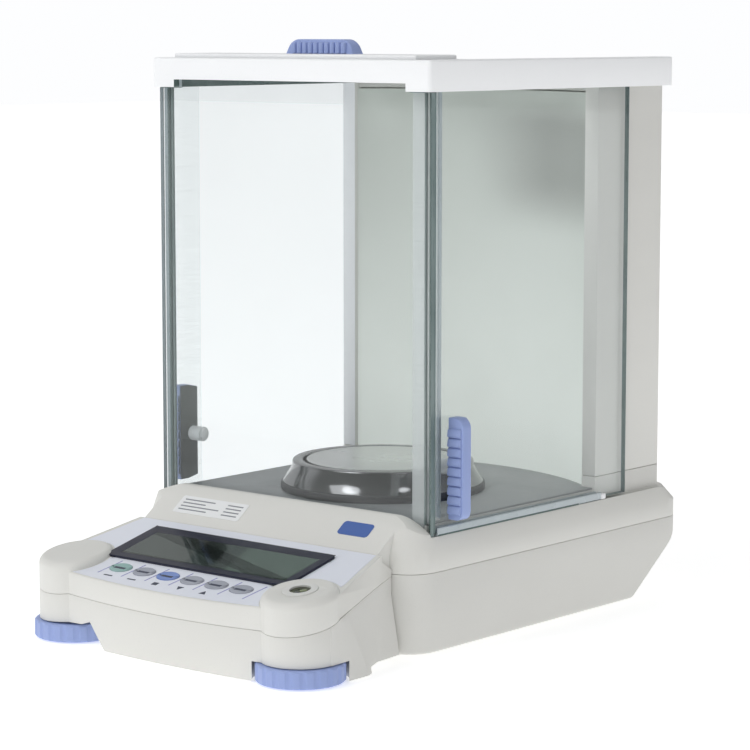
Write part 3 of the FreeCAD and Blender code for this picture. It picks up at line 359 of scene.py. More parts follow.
WARM = rgb(0.745, 0.742, 0.705)
finishes = {
    "housing_plastic": moulded("housing_plastic", WARM, rgb(0.720, 0.716, 0.682)),
    "frame_plastic": moulded("frame_plastic", rgb(0.93, 0.94, 0.95), rgb(0.90, 0.91, 0.92),
                             0.36, 3200.0, 0.00001),
    "back_panel_plastic": back_panel("back_panel_plastic"),
    "grip_plastic": moulded("grip_plastic", rgb(0.330, 0.415, 0.720), rgb(0.300, 0.380, 0.680),
                            0.40, 2400.0, 0.00002),
    "dark_plastic": moulded("dark_plastic", rgb(0.020, 0.020, 0.024), rgb(0.030, 0.030, 0.034),
                            0.45),
    "floor_plate": moulded("floor_plate", rgb(0.270, 0.282, 0.290), rgb(0.245, 0.256, 0.264),
                           0.38, 1800.0, 0.00003),
    "foot_rubber": rubber("foot_rubber", rgb(0.018, 0.018, 0.019), rgb(0.035, 0.035, 0.036)),
    "screw_steel": metal("screw_steel", rgb(0.55, 0.55, 0.56), 0.28, (900.0, 900.0, 200.0)),
    "cast_alloy": metal("cast_alloy", rgb(0.62, 0.63, 0.64), 0.42, (300.0, 300.0, 300.0)),
    "membrane_film": moulded("membrane_film", rgb(0.80, 0.82, 0.89), rgb(0.77, 0.80, 0.88),
                             0.32, 3800.0, 0.000006),
    "bezel_plastic": moulded("bezel_plastic", rgb(0.008, 0.010, 0.030),
                             rgb(0.011, 0.014, 0.038), 0.34, 3800.0, 0.000002),
    "display_cell": display_cell("display_cell"),
    "circuit_board": board("circuit_board"),
    "level_ring_plastic": moulded("level_ring_plastic", rgb(0.74, 0.74, 0.71),
                                  rgb(0.70, 0.70, 0.68), 0.30, 3000.0, 0.000006),
    "level_fluid": moulded("level_fluid", rgb(0.075, 0.085, 0.040), rgb(0.055, 0.065, 0.030),
                           0.10, 3000.0, 0.000001),
    "display_glass": clear_glass("display_glass", rgb(0.86, 0.90, 0.89), 0.01, 0.30),
    "shield_glass": clear_glass("shield_glass", rgb(0.962, 0.970, 0.972), 0.015),
    "clear_plastic": clear_strip("clear_plastic"),
    "glass_edge": ground_edge("glass_edge", rgb(0.100, 0.160, 0.155), rgb(0.060, 0.105, 0.105)),
    "pan_steel": turned_metal("pan_steel", rgb(0.80, 0.80, 0.79), 0.22, 3200.0),
    "ring_steel": turned_metal("ring_steel", rgb(0.25, 0.25, 0.255), 0.06, 1500.0),
    "coil_copper": metal("coil_copper", rgb(0.62, 0.28, 0.12), 0.30, (60.0, 60.0, 2500.0)),
    "magnet_iron": metal("magnet_iron", rgb(0.20, 0.20, 0.21), 0.40, (300.0, 300.0, 900.0)),
    "socket_metal": metal("socket_metal", rgb(0.58, 0.58, 0.57), 0.30, (700.0, 200.0, 700.0)),
    "terminal_brass": metal("terminal_brass", rgb(0.62, 0.48, 0.22), 0.28,
                            (800.0, 100.0, 800.0)),
    "key_green": rubber("key_green", rgb(0.29, 0.46, 0.44), rgb(0.33, 0.50, 0.48), 0.5),
    "key_grey": rubber("key_grey", rgb(0.36, 0.38, 0.44), rgb(0.40, 0.42, 0.48), 0.5),
    "key_blue": rubber("key_blue", rgb(0.20, 0.29, 0.60), rgb(0.23, 0.32, 0.64), 0.5),
    # Painted light: a paler white for the front of the tower's left jamb.
    "jamb_painted_light": moulded("jamb_painted_light", rgb(0.93, 0.94, 0.96), rgb(0.91, 0.92, 0.94)),
    "gasket_green": rubber("gasket_green", rgb(0.080, 0.125, 0.120), rgb(0.110, 0.160, 0.150),
                           0.45),
    "bond_line": rubber("bond_line", rgb(0.160, 0.210, 0.205), rgb(0.200, 0.250, 0.240), 0.4),
    "rail_plastic": moulded("rail_plastic", rgb(0.50, 0.56, 0.58), rgb(0.46, 0.52, 0.55), 0.22,
                            2600.0, 0.000006),
    # Painted shade: dark green for the back of the grips, seen in shadow through the glass.
    "grip_back_painted_shade": rubber("grip_back_painted_shade", rgb(0.060, 0.095, 0.088), rgb(0.085, 0.120, 0.110)),
    "print_dark": rubber("print_dark", rgb(0.050, 0.060, 0.095), rgb(0.070, 0.080, 0.120), 0.45),
    "print_violet": rubber("print_violet", rgb(0.300, 0.300, 0.560), rgb(0.340, 0.340, 0.600),
                           0.45),
    "label_white": moulded("label_white", rgb(0.86, 0.87, 0.87), rgb(0.83, 0.84, 0.85), 0.35,
                           3600.0, 0.000003),
    "label_grey": rubber("label_grey", rgb(0.24, 0.25, 0.27), rgb(0.30, 0.31, 0.33), 0.45),
    "badge_blue": moulded("badge_blue", rgb(0.075, 0.150, 0.430), rgb(0.060, 0.125, 0.390),
                          0.28, 3000.0, 0.000003),
    "bubble": moulded("bubble", rgb(0.26, 0.29, 0.17), rgb(0.23, 0.26, 0.15), 0.12, 3000.0,
                      0.000001),
}

slot_of = {entry["node"]: entry["material_slot"] for entry in frame["record"]["subparts"]}
for name, thing in nodes.items():
    thing.data.materials.clear()
    thing.data.materials.append(finishes[slot_of[name]].material)


# ------------------------------------------------------------------ shaping
def let_go():
    """Leave edit mode and deselect everything."""
    active = bpy.context.view_layer.objects.active
    if active is not None and active.mode != "OBJECT":
        bpy.ops.object.mode_set(mode="OBJECT")
    for thing in list(bpy.context.selected_objects):
        thing.select_set(False)


def take(*things):
    """Select these objects; the first is the one that operators work on."""
    let_go()
    for thing in things:
        thing.select_set(True)
    bpy.context.view_layer.objects.active = things[0]


def choose(thing, kind, test):
    """Enter edit mode with the edges or faces selected that pass the test, in millimetres."""
    take(thing)
    bpy.ops.object.mode_set(mode="EDIT")
    bpy.ops.mesh.select_mode(type=kind)
    bpy.ops.mesh.select_all(action="DESELECT")
    bpy.ops.object.mode_set(mode="OBJECT")
    mesh = thing.data
    if kind == "EDGE":
        for edge in mesh.edges:
            first, second = (mesh.vertices[index].co / MM for index in edge.vertices)
            edge.select = bool(test(first, second))
    else:
        for face in mesh.polygons:
            face.select = bool(test(face.center / MM, face.normal))
    bpy.ops.object.mode_set(mode="EDIT")


def everywhere(*_):
    return True


def blank(name, low, high):
    """A block between two corners, in millimetres."""
    let_go()
    middle = [(a + b) * MM / 2 for a, b in zip(low, high)]
    bpy.ops.mesh.primitive_cube_add(size=1.0, location=middle)
    thing = bpy.context.object
    thing.scale = [(b - a) * MM for a, b in zip(low, high)]
    return named(thing, name)


def rod(name, middle, radius, length, axis="Z", sides=48):
    """A round bar about its middle, along one axis."""
    let_go()
    turn = {"X": (0, math.pi / 2, 0), "Y": (math.pi / 2, 0, 0), "Z": (0, 0, 0)}[axis]
    bpy.ops.mesh.primitive_cylinder_add(vertices=sides, radius=radius * MM, depth=length * MM,
                                        location=[c * MM for c in middle], rotation=turn)
    return named(bpy.context.object, name)


def named(thing, name):
    take(thing)
    bpy.ops.object.transform_apply(location=True, rotation=True, scale=True)
    thing.name = name
    thing.data.name = name
    return thing


def round_edges(thing, width, segments=2, test=everywhere):
    choose(thing, "EDGE", test)
    bpy.ops.mesh.bevel(offset=width * MM, segments=segments, affect="EDGES")
    let_go()
    return thing


def round_all(thing, width, segments=2, angle=30.0):
    """Round every edge that turns more than angle."""
    take(thing)
    edge = thing.modifiers.new("edge", "BEVEL")
    edge.width = width * MM
    edge.segments = segments
    edge.limit_method = "ANGLE"
    edge.angle_limit = math.radians(angle)
    bpy.ops.object.modifier_apply(modifier="edge")
    return thing


def inset(thing, test, width, sink=0.0):
    """Step the chosen faces in, and press them inwards."""
    choose(thing, "FACE", test)
    bpy.ops.mesh.inset(thickness=width * MM, depth=-sink * MM)
    let_go()


def merged(*things):
    """One object made of several."""
    take(*things)
    if len(things) > 1:
        bpy.ops.object.join()
    return things[0]


def another(thing, name, shift=(0, 0, 0)):
    """A copy with a mesh of its own, moved by shift in millimetres."""
    twin = bpy.data.objects.new(name, thing.data.copy())
    twin.data.name = name
    bpy.context.scene.collection.objects.link(twin)
    twin.data.transform(Matrix.Translation(Vector(shift) * MM))
    return twin


def other_side(thing, name):
    """The same piece for the left, facing the right way out."""
    twin = another(thing, name)
    twin.data.transform(Matrix.Scale(-1, 4, (1, 0, 0)))
    twin.data.flip_normals()
    return twin


def row(thing, count, step):
    """count copies of a small shape, step millimetres apart, as one object."""
    copies = [another(thing, "%s_%d" % (thing.name, index), [index * c for c in step])
              for index in range(1, count)]
    return merged(thing, *copies)


def onto(thing, origin, tilt):
    """Move a shape drawn flat onto a plane that rises to the back at tilt degrees."""
    thing.data.transform(Matrix.Translation(Vector(origin) * MM)
                         @ Matrix.Rotation(math.radians(tilt), 4, "X"))
    return thing


def fit(thing, body, slot, *stands_for, finish=None, angle=32.0):
    """Finish a piece: surface, shading, the body it moves with and what it stands for."""
    if finish is not None or not thing.data.materials:
        coat(thing, finish or slot)
    take(thing)
    bpy.ops.object.shade_smooth_by_angle(angle=math.radians(angle))
    let_go()
    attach(thing, body)
    if stands_for:
        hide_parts(*stands_for)
    return thing


def coat(thing, finish):
    """One finish all over."""
    thing.data.materials.clear()
    thing.data.materials.append(finishes[finish].material)
    return thing


def paint(thing, finish, test):
    """Give the faces that pass the test another finish."""
    thing.data.materials.append(finishes[finish].material)
    number = len(thing.data.materials) - 1
    for face in thing.data.polygons:
        if test(face.center / MM, face.normal):
            face.material_index = number
    return thing


def softened(node, radius, segments=2, finish=None, angle=30.0, test=None, second=None):
    """A node's own shape with its sharp edges rounded, in its place."""
    thing = bpy.data.objects.new(node + "_shell", nodes[node].data.copy())
    thing.data.name = thing.name
    bpy.context.scene.collection.objects.link(thing)
    take(thing)
    bpy.ops.object.mode_set(mode="EDIT")
    bpy.ops.mesh.select_all(action="SELECT")
    bpy.ops.mesh.remove_doubles(threshold=0.00001)
    bpy.ops.mesh.dissolve_limited(angle_limit=math.radians(0.4))
    bpy.ops.object.mode_set(mode="OBJECT")
    round_all(thing, radius, segments, angle)
    slot = slot_of[node]
    coat(thing, finish or slot)
    if second:
        paint(thing, second, test)
    return fit(thing, body_of(nodes[node])[0], slot, node)


# ------------------------------------------------------------------ housings and glass
# Planes that flat shapes are laid onto: an origin in millimetres and a tilt in degrees.
PANEL_TOP = (0.0, -95.4, 60.0)
PANEL = (PANEL_TOP, 13.86)
SLOPE_RISE, SLOPE_RUN = 17.5, 23.9
SLOPE = (PANEL_TOP, math.degrees(math.atan2(SLOPE_RISE, SLOPE_RUN)))
TURRET = ((85.45, -154.1, 49.5), 10.0)
CHANNEL_FLANK = 87.4
TOWER_FRONT = 93.0


def housings():
    """Moulded covers: gasket lines the roof's channels, and the front of the left jamb is painted paler
    as painted light.
    """
    for node, radius in (("base_lower_cover", 0.7), ("base_upper_cover", 0.9),
                         ("console_lower_cover", 0.6), ("console_upper_cover", 0.8),
                         ("top_door_carrier", 0.5), ("chamber_floor", 0.35)):
        softened(node, radius)
    softened("roof_frame", 0.7, second="gasket_green",
             test=lambda centre, normal: abs(normal.x) > 0.9 and abs(abs(centre.x) - CHANNEL_FLANK) < 0.5)
    # Painted light: the front face of the tower's left jamb is painted a paler white.
    softened("tower_shell", 0.8, second="jamb_painted_light",
             test=lambda centre, normal: normal.y < -0.9
             and abs(centre.y - TOWER_FRONT) < 0.5 and centre.x < 0)


def glazing():
    """Panes with arrised edges that show green, but for two leading edges on the left painted pale as
    painted light.
    """
    for node, axis in (("front_glass", 1), ("right_door_glass", 0), ("left_door_glass", 0),
                       ("top_door_glass", 2)):
        softened(node, 0.3, 1, second="glass_edge",
                 test=lambda centre, normal, axis=axis: abs(normal[axis]) < 0.9)
    for side in ("right", "left"):
        softened(side + "_corner_post", 0.8, 2)
    # Painted light: the left leading edges of the front glass and the left door glass get the pale rail
    # plastic.
    paint(bpy.data.objects["front_glass_shell"], "rail_plastic",
          lambda centre, normal: normal.x < -0.9)
    paint(bpy.data.objects["left_door_glass_shell"], "rail_plastic",
          lambda centre, normal: normal.y < -0.9)


def corner_trim():
    """Gaskets on the side doors' leading edges, bond lines of the posts, and a pale strip on the right
    post, a painted highlight.
    """
    gasket = round_edges(blank("right_door_gasket", (98.2, -62.5, 68.5), (99.8, -58.6, 312.0)),
                         0.4)
    bond = round_edges(blank("right_post_bond", (95.3, -63.1, 72.8), (96.7, -61.8, 310.0)), 0.3)
    # lip: a pale strip on the right post's rear flank, a painted highlight.
    lip = round_edges(blank("right_post_painted_highlight", (94.6, -51.6, 75.0), (96.2, -49.0, 310.0)), 0.4)
    fit(other_side(gasket, "left_door_gasket"), "left_door", "shield_glass",
        finish="gasket_green")
    fit(gasket, "right_door", "shield_glass", finish="gasket_green")
    fit(other_side(bond, "left_post_bond"), "housing", "clear_plastic", finish="bond_line")
    fit(bond, "housing", "clear_plastic", finish="bond_line")
    fit(lip, "housing", "clear_plastic", finish="rail_plastic")


def door_rails():
    """Channels that carry the door glass, with end stops and a dark seal underneath."""
    for side in ("right", "left"):
        softened(side + "_door_rail", 0.35, 2, finish="rail_plastic")
    seal = round_edges(blank("right_rail_seal", (102.2, -60.8, 66.95), (103.9, 70.0, 67.9)), 0.25)
    stop = round_edges(blank("right_rail_stop", (100.2, 92.7, 67.1), (103.8, 97.4, 70.4)), 0.6, 3)
    for thing, slot, finish, name in ((seal, "shield_glass", "gasket_green", "rail_seal"),
                                      (stop, "frame_plastic", "frame_plastic", "rail_stop")):
        fit(other_side(thing, "left_" + name), "left_door", slot, finish=finish)
        fit(thing, "right_door", slot, finish=finish)


# ------------------------------------------------------------------ handles and knobs
DOOR_FACE = 102.9
GRIP_OUT = 113.4
GRIP_FRONT, GRIP_BACK = -51.4, -44.2
GRIP_FOOT, GRIP_TOP = 75.0, 132.0
GRIP_TAIL = 8.0
GRIP_RIBS, RIB_PITCH, RIB_LEAN = 9, 5.35, 9.0
CAP_MIDDLE = (95.4, -43.5, 103.0)
ROOF_GRIP_MIDDLE = -36.9


def side_handles():
    """Ribbed grips on the side doors, smooth on the flank, with the face against the glass painted dark
    as painted shade.
    """
    grip = blank("right_grip", (DOOR_FACE, GRIP_FRONT, GRIP_FOOT), (GRIP_OUT, GRIP_BACK, GRIP_TOP))
    round_edges(grip, 6.0, 6, lambda a, b: min(a.x, b.x) > GRIP_OUT - 0.4
                and min(a.z, b.z) > GRIP_TOP - 1)
    round_edges(grip, 4.5, 3, lambda a, b: min(a.x, b.x) > GRIP_OUT - 0.4
                and max(a.z, b.z) < GRIP_FOOT + 1)
    choose(grip, "FACE", lambda centre, normal: normal.y > 0.9)
    bpy.ops.mesh.extrude_region_move(TRANSFORM_OT_translate={"value": (0, GRIP_TAIL * MM, 0)})
    narrow_about = Vector((DOOR_FACE, GRIP_BACK + GRIP_TAIL, (GRIP_FOOT + GRIP_TOP) / 2)) * MM
    bpy.ops.transform.resize(value=(0.2, 1, 0.94), center_override=narrow_about)
    let_go()
    round_all(grip, 1.1, 3, 40.0)
    coat(grip, "grip_plastic")
    # Painted shade: the face against the glass is painted dark green.
    paint(grip, "grip_back_painted_shade", lambda centre, normal: normal.x < -0.9)
    rib = blank("grip_rib", (103.3, -52.9, 78.2), (112.3, -50.9, 83.2))
    round_edges(rib, 1.2, 3, lambda a, b: max(a.y, b.y) < -52 and abs(a.x - b.x) > 2)
    round_edges(rib, 0.5, 2, lambda a, b: max(a.y, b.y) < -52)
    take(rib)
    bpy.ops.object.mode_set(mode="EDIT")
    bpy.ops.mesh.select_all(action="SELECT")
    bpy.ops.transform.rotate(value=math.radians(RIB_LEAN), orient_axis="X",
                             center_override=Vector((107.8, -51.5, 80.7)) * MM)
    let_go()
    ribs = row(coat(rib, "grip_plastic"), GRIP_RIBS, (0, 0, RIB_PITCH))
    grip = merged(grip, ribs)
    fit(other_side(grip, "left_grip"), "left_door", "grip_plastic", "left_door_handle")
    fit(grip, "right_door", "grip_plastic", "right_door_handle")


def knobs():
    """Screw caps on the inner face of the side doors that hold the grips."""
    cap = rod("right_grip_cap", CAP_MIDDLE, 4.4, 8.8, "X", 40)
    inset(cap, lambda centre, normal: normal.x < -0.9, 1.2)
    choose(cap, "FACE", lambda centre, normal: normal.x < -0.9
           and abs(centre.y - CAP_MIDDLE[1]) < 1 and abs(centre.z - CAP_MIDDLE[2]) < 1)
    bpy.ops.mesh.extrude_region_move(TRANSFORM_OT_translate={"value": (-0.7 * MM, 0, 0)})
    let_go()
    round_edges(cap, 0.35, 2, lambda a, b: abs(a.x - b.x) < 0.01
                and min(a.x, b.x) < CAP_MIDDLE[0] - 0.4)
    fit(other_side(cap, "left_grip_cap"), "left_door", "frame_plastic", "left_door_knob")
    fit(cap, "right_door", "frame_plastic", "right_door_knob")


def top_handle():
    """Grip of the roof door: rounded ends and upright ribs front and back."""
    grip = blank("roof_grip", (-25.4, -41.6, 329.7), (25.4, -32.0, 338.0))
    choose(grip, "FACE", lambda centre, normal: normal.z > 0.9)
    bpy.ops.transform.resize(value=(0.86, 0.8, 1.0))
    let_go()
    round_edges(grip, 5.0, 6, lambda a, b: min(a.z, b.z) > 337 and abs(a.y - b.y) > 2)
    round_edges(grip, 0.9, 3, lambda a, b: max(a.z, b.z) > 330)
    rib = blank("roof_rib", (-20.4, -43.0, 330.2), (-17.0, -40.4, 336.2))
    round_edges(rib, 1.0, 3, lambda a, b: abs(a.z - b.z) > 2 and max(a.y, b.y) < -42)
    round_edges(rib, 0.7, 2, lambda a, b: min(a.z, b.z) > 336)
    back = another(rib, "roof_rib_back")
    back.data.transform(Matrix.Translation((0, 2 * ROOF_GRIP_MIDDLE * MM, 0))
                        @ Matrix.Scale(-1, 4, (0, 1, 0)))
    back.data.flip_normals()
    for thing in (rib, back):
        grip = merged(grip, row(thing, 10, (4.16, 0, 0)))
    fit(grip, "top_door", "grip_plastic", "top_door_handle")


def wheels():
    """Hand wheels of the front feet, with their scallops' edges broken."""
    for side in ("right", "left"):
        softened(side + "_foot_wheel", 0.6, 2, angle=24.0)


# ------------------------------------------------------------------ display, keys and level
# Places on the panel are measured from its top edge, with y falling towards the keys.
DISPLAY_MIDDLE = -32.0
KEY_LINE = -64.0
KEY_PITCH = 18.4
KEY_HALF_WIDTH, KEY_HALF_DEPTH = 7.5, 5.2
KEYS = (("key_power", "key_green"), ("key_calibrate", "key_grey"), ("key_tare", "key_blue"),
        ("key_down", "key_grey"), ("key_up", "key_grey"), ("key_print", "key_grey"))


def on_panel(thing):
    return onto(thing, *PANEL)


def key_place(index):
    """How far a key, counted from the left, is from the panel's middle."""
    return (index - (len(KEYS) - 1) / 2) * KEY_PITCH


def display():
    """Raised frame round the display, a lip inside it and the window."""
    frame_piece = blank("display_frame", (-69.0, -53.5, 0.1), (69.0, -10.5, 1.5))
    round_edges(frame_piece, 3.0, 5, lambda a, b: abs(a.z - b.z) > 1)
    inset(frame_piece, lambda centre, normal: normal.z > 0.9, 6.5)
    choose(frame_piece, "FACE", lambda centre, normal: normal.z > 0.9 and abs(centre.x) < 1
           and abs(centre.y - DISPLAY_MIDDLE) < 1)
    bpy.ops.transform.translate(value=(0, 0, -0.9 * MM))
    bpy.ops.mesh.inset(thickness=0.4 * MM, depth=0)
    let_go()
    round_edges(frame_piece, 0.35, 3, lambda a, b: min(a.z, b.z) > 1.4)
    coat(frame_piece, "bezel_plastic")
    paint(frame_piece, "display_cell", lambda centre, normal: normal.z > 0.9
          and abs(centre.x) < 20 and centre.z < 0.9 and abs(centre.y - DISPLAY_MIDDLE) < 5)
    fit(on_panel(frame_piece), "housing", "bezel_plastic", "display_bezel")
    fit(on_panel(round_edges(blank("display_pane", (-61.8, -46.4, 0.75), (61.8, -17.6, 1.1)),
                             0.1, 1)),
        "housing", "display_glass", "display_window")


def keys():
    """Oval caps with a dished top, one to each spring."""
    cap = rod("key_cap", (0, KEY_LINE, -0.7), 1.0, 2.8, "Z", 56)
    cap.data.transform(Matrix.Translation((0, KEY_LINE * MM, 0))
                       @ Matrix.Diagonal((KEY_HALF_WIDTH, KEY_HALF_DEPTH, 1, 1))
                       @ Matrix.Translation((0, -KEY_LINE * MM, 0)))
    round_edges(cap, 0.45, 3, lambda a, b: min(a.z, b.z) > 0.6)
    for width, sink in ((1.1, 0.0), (0.5, 0.16)):
        inset(cap, lambda centre, normal: normal.z > 0.95 and abs(centre.y - KEY_LINE) < 1,
              width, sink)
    for index, (name, finish) in enumerate(KEYS):
        x = key_place(index)
        copy = another(cap, name + "_cap", (x, 0, 0))
        mark = blank(name + "_mark", (x - 4.2, -65.9, 0.4), (x + 4.2, -63.8, 0.62))
        round_edges(mark, 0.09, 1)
        mark.data.materials.append(finishes["print_dark"].material)
        copy.data.materials.append(finishes[finish].material)
        copy = merged(copy, mark)
        fit(on_panel(copy), name + "_body", slot_of[name], name)
    bpy.data.objects.remove(cap)


def membrane_print():
    """Leaning dividers between the keys, and a plain symbol in front of each key but the last."""
    marks = []
    for index in range(len(KEYS) + 1):
        x = key_place(index - 0.5)
        line = blank("divider_%d" % index, (x - 0.45, -73.5, 0.09), (x + 0.45, -56.0, 0.2))
        choose(line, "FACE", lambda centre, normal: normal.y > 0.9)
        bpy.ops.transform.translate(value=(2.6 * MM, 0, 0))
        let_go()
        marks.append(round_edges(line, 0.05, 1))
    fit(on_panel(merged(*marks)), "housing", "membrane_film", finish="print_violet")
    marks = []
    for index, (half, deep) in enumerate(((3.2, 0.6), (3.2, 0.6), (2.0, 1.6), (2.4, 1.8),
                                          (2.4, 1.8))):
        x = key_place(index)
        mark = blank("symbol_%d" % index, (x - half, -74.5 - deep, 0.09),
                     (x + half, -74.5 + deep, 0.2))
        if index > 2:
            up = 1 if index == 4 else -1
            choose(mark, "FACE", lambda centre, normal: normal.y * up > 0.9)
            bpy.ops.transform.resize(value=(0.08, 1, 1))
            let_go()
        marks.append(round_edges(mark, 0.05, 1))
    fit(on_panel(merged(*marks)), "housing", "membrane_film", finish="print_dark")


def slope_labels():
    """A plain label with grey bars and a plain blue badge on the slope above the display."""
    label = blank("front_label", (-73.0, 7.5, 0.02), (-21.0, 21.0, 0.22))
    round_edges(label, 1.2, 4, lambda a, b: abs(a.z - b.z) > 0.1)
    inset(label, lambda centre, normal: normal.z > 0.9, 0.5)
    label.data.materials.append(finishes["label_white"].material)
    bars = []
    for line, end in enumerate((-46, -52, -40, -48)):
        up = 18.2 - line * 2.6
        for left, right in ((-70, end), (-36, -24)):
            bars.append(round_edges(blank("bar", (left, up - 0.45, 0.2), (right, up + 0.45, 0.27)),
                                    0.03, 1))
    for bar in bars:
        bar.data.materials.append(finishes["label_grey"].material)
    fit(onto(merged(label, *bars), *SLOPE), "housing", "membrane_film")
    badge = blank("front_badge", (52.0, 10.5, 0.02), (74.0, 20.5, 0.30))
    round_edges(badge, 2.2, 5, lambda a, b: abs(a.z - b.z) > 0.1)
    inset(badge, lambda centre, normal: normal.z > 0.9, 0.7)
    badge.data.materials.append(finishes["badge_blue"].material)
    fit(onto(badge, *SLOPE), "housing", "membrane_film")


def level():
    """Raised ring round the level, with the bubble in its dish."""
    softened("level_ring", 0.3, 3)
    softened("level_vial", 0.5, 2)
    bubble = rod("level_bubble", (1.2, 1.0, -0.55), 1.9, 0.3, "Z", 40)
    round_edges(bubble, 0.12, 2)
    fit(onto(bubble, *TURRET), "housing", "level_fluid", finish="bubble")
    circle = rod("level_circle", (0.0, 0.0, -0.6), 2.9, 0.12, "Z", 48)
    choose(circle, "FACE", lambda centre, normal: abs(normal.z) > 0.9)
    bpy.ops.mesh.inset(thickness=0.25 * MM)
    bpy.ops.mesh.delete(type="FACE")
    let_go()
    wall = circle.modifiers.new("wall", "SOLIDIFY")
    wall.thickness = 0.25 * MM
    take(circle)
    bpy.ops.object.modifier_apply(modifier="wall")
    fit(onto(circle, *TURRET), "housing", "level_fluid", finish="print_dark")


# ------------------------------------------------------------------ weighing parts
def spun(name, outline, steps=128):
    """A closed outline of (radius, height), drawn corner by corner and spun about the pan's middle."""
    let_go()
    radius, height = outline[0]
    bpy.ops.mesh.primitive_plane_add(size=MM, location=(
        (PAN_MIDDLE[0] + radius) * MM, PAN_MIDDLE[1] * MM, height * MM))
    thing = named(bpy.context.object, name)
    bpy.ops.object.mode_set(mode="EDIT")
    bpy.ops.mesh.select_mode(type="VERT")
    bpy.ops.mesh.select_all(action="SELECT")
    bpy.ops.mesh.merge(type="CENTER")
    for start, end in zip(outline, outline[1:] + outline[:1]):
        step = ((end[0] - start[0]) * MM, 0, (end[1] - start[1]) * MM)
        bpy.ops.mesh.extrude_vertices_move(TRANSFORM_OT_translate={"value": step})
    bpy.ops.mesh.select_all(action="SELECT")
    bpy.ops.mesh.remove_doubles(threshold=0.000002)
    bpy.ops.mesh.spin(steps=steps, angle=math.tau, axis=(0, 0, 1),
                      center=(PAN_MIDDLE[0] * MM, PAN_MIDDLE[1] * MM, 0))
    bpy.ops.mesh.select_all(action="SELECT")
    bpy.ops.mesh.remove_doubles(threshold=0.000002)
    bpy.ops.mesh.normals_make_consistent(inside=False)
    let_go()
    return thing


def weighing_parts():
    """Dish of the pan with its socket, the polished ring, and the dark band it stands on."""
    pan = spun("weighing_dish", [(0.02, 90.7), (41.0, 90.7), (42.2, 90.95), (44.8, 91.0),
                                 (45.4, 90.6), (45.5, 89.8), (45.5, 87.4), (45.1, 87.0),
                                 (44.6, 87.2), (44.5, 89.3), (40.0, 89.6), (9.2, 89.5),
                                 (8.8, 85.0), (5.2, 85.0), (4.1, 87.9), (0.02, 88.0)])
    fit(pan, "pan", "pan_steel", "weighing_pan", angle=40.0)
    ring = spun("polished_ring", [(58.1, 77.9), (59.3, 77.9), (59.5, 78.2), (58.9, 79.0),
                                  (53.9, 87.2), (53.9, 89.6), (53.6, 90.4), (52.9, 90.8),
                                  (48.4, 90.8), (47.7, 90.5), (47.5, 89.9), (47.6, 89.2),
                                  (48.4, 88.9), (52.0, 88.6), (52.3, 87.4)])
    fit(ring, "shield_ring", "ring_steel", "draft_ring", angle=40.0)
    band = spun("ring_band", [(53.5, 73.5), (60.4, 73.5), (60.7, 73.9), (60.7, 77.0),
                              (60.3, 77.6), (59.6, 77.9), (53.5, 77.9)])
    fit(band, "shield_ring", slot_of["ring_base"], "ring_base", angle=40.0)


# ------------------------------------------------------------------ back
SOCKET_MIDDLE = -46.0
PIN_PITCH, PIN_ROWS = 3.2, 2.8


def back_details():
    """Pins of the data socket, its hex posts, the inlet's collar and a plain type plate."""
    pins = []
    for index in range(9):
        line, place = divmod(index, 5)
        x = SOCKET_MIDDLE + (place - 2 + line / 2) * PIN_PITCH
        pin = rod("pin_%d" % index, (x, 162.4, 101.4 - line * PIN_ROWS), 0.55, 4.4, "Y", 16)
        pins.append(round_edges(pin, 0.2, 2, lambda a, b: min(a.y, b.y) > 164))
    fit(merged(*pins), "housing", "terminal_brass")
    post = rod("socket_post", (-58.6, 164.6, 100.0), 2.1, 3.6, "Y", 6)
    inset(post, lambda centre, normal: normal.y > 0.9, 0.9, 1.6)
    round_edges(post, 0.2, 1, lambda a, b: min(a.y, b.y) > 166)
    fit(row(post, 2, (25.2, 0, 0)), "housing", "socket_metal")
    plate = blank("type_plate", (-38.0, 160.55, 150.0), (38.0, 160.8, 190.0))
    round_edges(plate, 2.0, 4, lambda a, b: abs(a.y - b.y) > 0.1)
    inset(plate, lambda centre, normal: normal.y > 0.9, 0.6)
    plate.data.materials.append(finishes["label_white"].material)
    bars = [round_edges(blank("bar", (-32, 160.78, z), (end, 160.88, z + 1.6)), 0.04, 1)
            for z, end in ((183, 10), (177, 24), (171, 18), (165, 28), (159, 2), (154, 16))]
    for bar in bars:
        bar.data.materials.append(finishes["label_grey"].material)
    fit(merged(plate, *bars), "housing", "membrane_film")
    for node in ("power_inlet", "data_socket", "earth_terminal"):
        softened(node, 0.2, 2)


for make in (housings, glazing, corner_trim, door_rails, side_handles, knobs, top_handle,
             wheels, display, keys, membrane_print, slope_labels, level, weighing_parts,
             back_details):
    make()


# ------------------------------------------------------------------ camera, floor and light
CAMERA_PLACE = (1.029524, -1.205168, 0.345177)
CAMERA_TURN, CAMERA_DIP = 40.32646, 7.30644
CAMERA_LENS, CAMERA_SENSOR = 130.49, 36.0
LIT_POINT = (0, 0.02, 0.15)


def camera():
    """A long lens at the front right corner, a little above the pan, looking slightly down."""
    data = bpy.data.cameras.new("camera")
    data.lens = CAMERA_LENS
    data.sensor_width = CAMERA_SENSOR
    data.clip_end = 60.0
    thing = bpy.data.objects.new("camera", data)
    thing.location = CAMERA_PLACE
    thing.rotation_euler = (math.radians(90.0 - CAMERA_DIP), 0.0, math.radians(CAMERA_TURN))
    bpy.context.scene.collection.objects.link(thing)
    bpy.context.scene.camera = thing


def softbox(name, azimuth, elevation, distance, size, power):
    """A softbox that looks at the middle of the balance."""
    data = bpy.data.lights.new(name, "AREA")
    data.shape = "RECTANGLE"
    data.size, data.size_y = size
    data.energy = power
    thing = bpy.data.objects.new(name, data)
    away = heading(azimuth, elevation)
    thing.location = Vector(LIT_POINT) + away * distance
    thing.rotation_euler = away.to_track_quat("Z", "Y").to_euler()
    bpy.context.scene.collection.objects.link(thing)


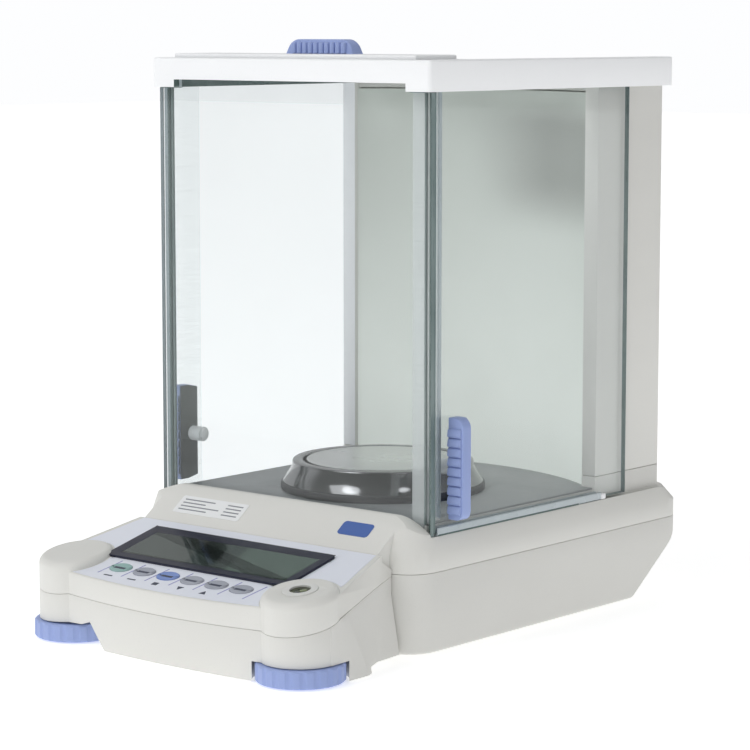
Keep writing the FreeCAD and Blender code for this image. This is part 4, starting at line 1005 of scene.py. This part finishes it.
def heading(azimuth, elevation):
    """Unit vector towards a place in the studio; azimuth 0 is in front, 90 at the user's right."""
    a, e = math.radians(azimuth), math.radians(elevation)
    return Vector((math.sin(a) * math.cos(e), -math.cos(a) * math.cos(e), math.sin(e)))


def surroundings():
    """A room dimmer on the right, with a dark patch between two softboxes; the camera sees white."""
    world = bpy.data.worlds.new("studio")
    world.use_nodes = True
    bpy.context.scene.world = world
    room = Nodes(world.node_tree)
    ray = room.add("ShaderNodeTexCoord").outputs["Generated"]

    def towards(azimuth, elevation):
        return room.level("ShaderNodeVectorMath", {"operation": "DOT_PRODUCT"}, {
            0: ray, 1: heading(azimuth, elevation)}, 1)

    lit = 0.54 + towards(-40, 35) * 0.30
    dark = room.step(towards(10, 40), 0.30, 0.62)
    box_left = room.step(towards(-7, 47), 0.986, 0.990)
    box_right = room.step(towards(70, 47), 0.994, 0.997)
    path = room.add("ShaderNodeLightPath")
    matt = Level(room, path.outputs["Is Diffuse Ray"])
    glow = lit * (1.0 - dark * (1.0 - matt * 0.85) * 0.95) + box_left * 3.0 + box_right * 3.0
    seen = Level(room, path.outputs["Is Camera Ray"])
    sky = world.node_tree.nodes["Background"]
    sky.inputs[0].default_value = (0.985, 0.99, 1.0, 1.0)
    room.feed(sky.inputs[1], glow * (1.0 - seen) + seen)


def studio():
    """White paper under the balance, one softbox, and the surroundings."""
    bpy.ops.mesh.primitive_plane_add(size=16.0, location=(0, 0, 0))
    ground = bpy.context.object
    ground.name = "studio_floor"
    paper = Finish("studio_paper", specular_ior_level=0.05,
                   emission_color=(1.0, 1.0, 1.0, 1.0), emission_strength=0.47)
    fibre = paper.noise(500.0, 3.0, 0.5)
    paper.set("Base Color", paper.blend(paper.between(fibre, 0.0, 1.0),
                                        rgb(0.90, 0.90, 0.90), rgb(0.92, 0.92, 0.92)))
    paper.set("Roughness", paper.between(fibre, 0.85, 0.95))
    ground.data.materials.append(paper.material)
    softbox("key_softbox", -20.0, 50.0, 2.2, (0.9, 1.4), 7.5)
    surroundings()
    bpy.context.scene.view_settings.view_transform = "Standard"


camera()
studio()
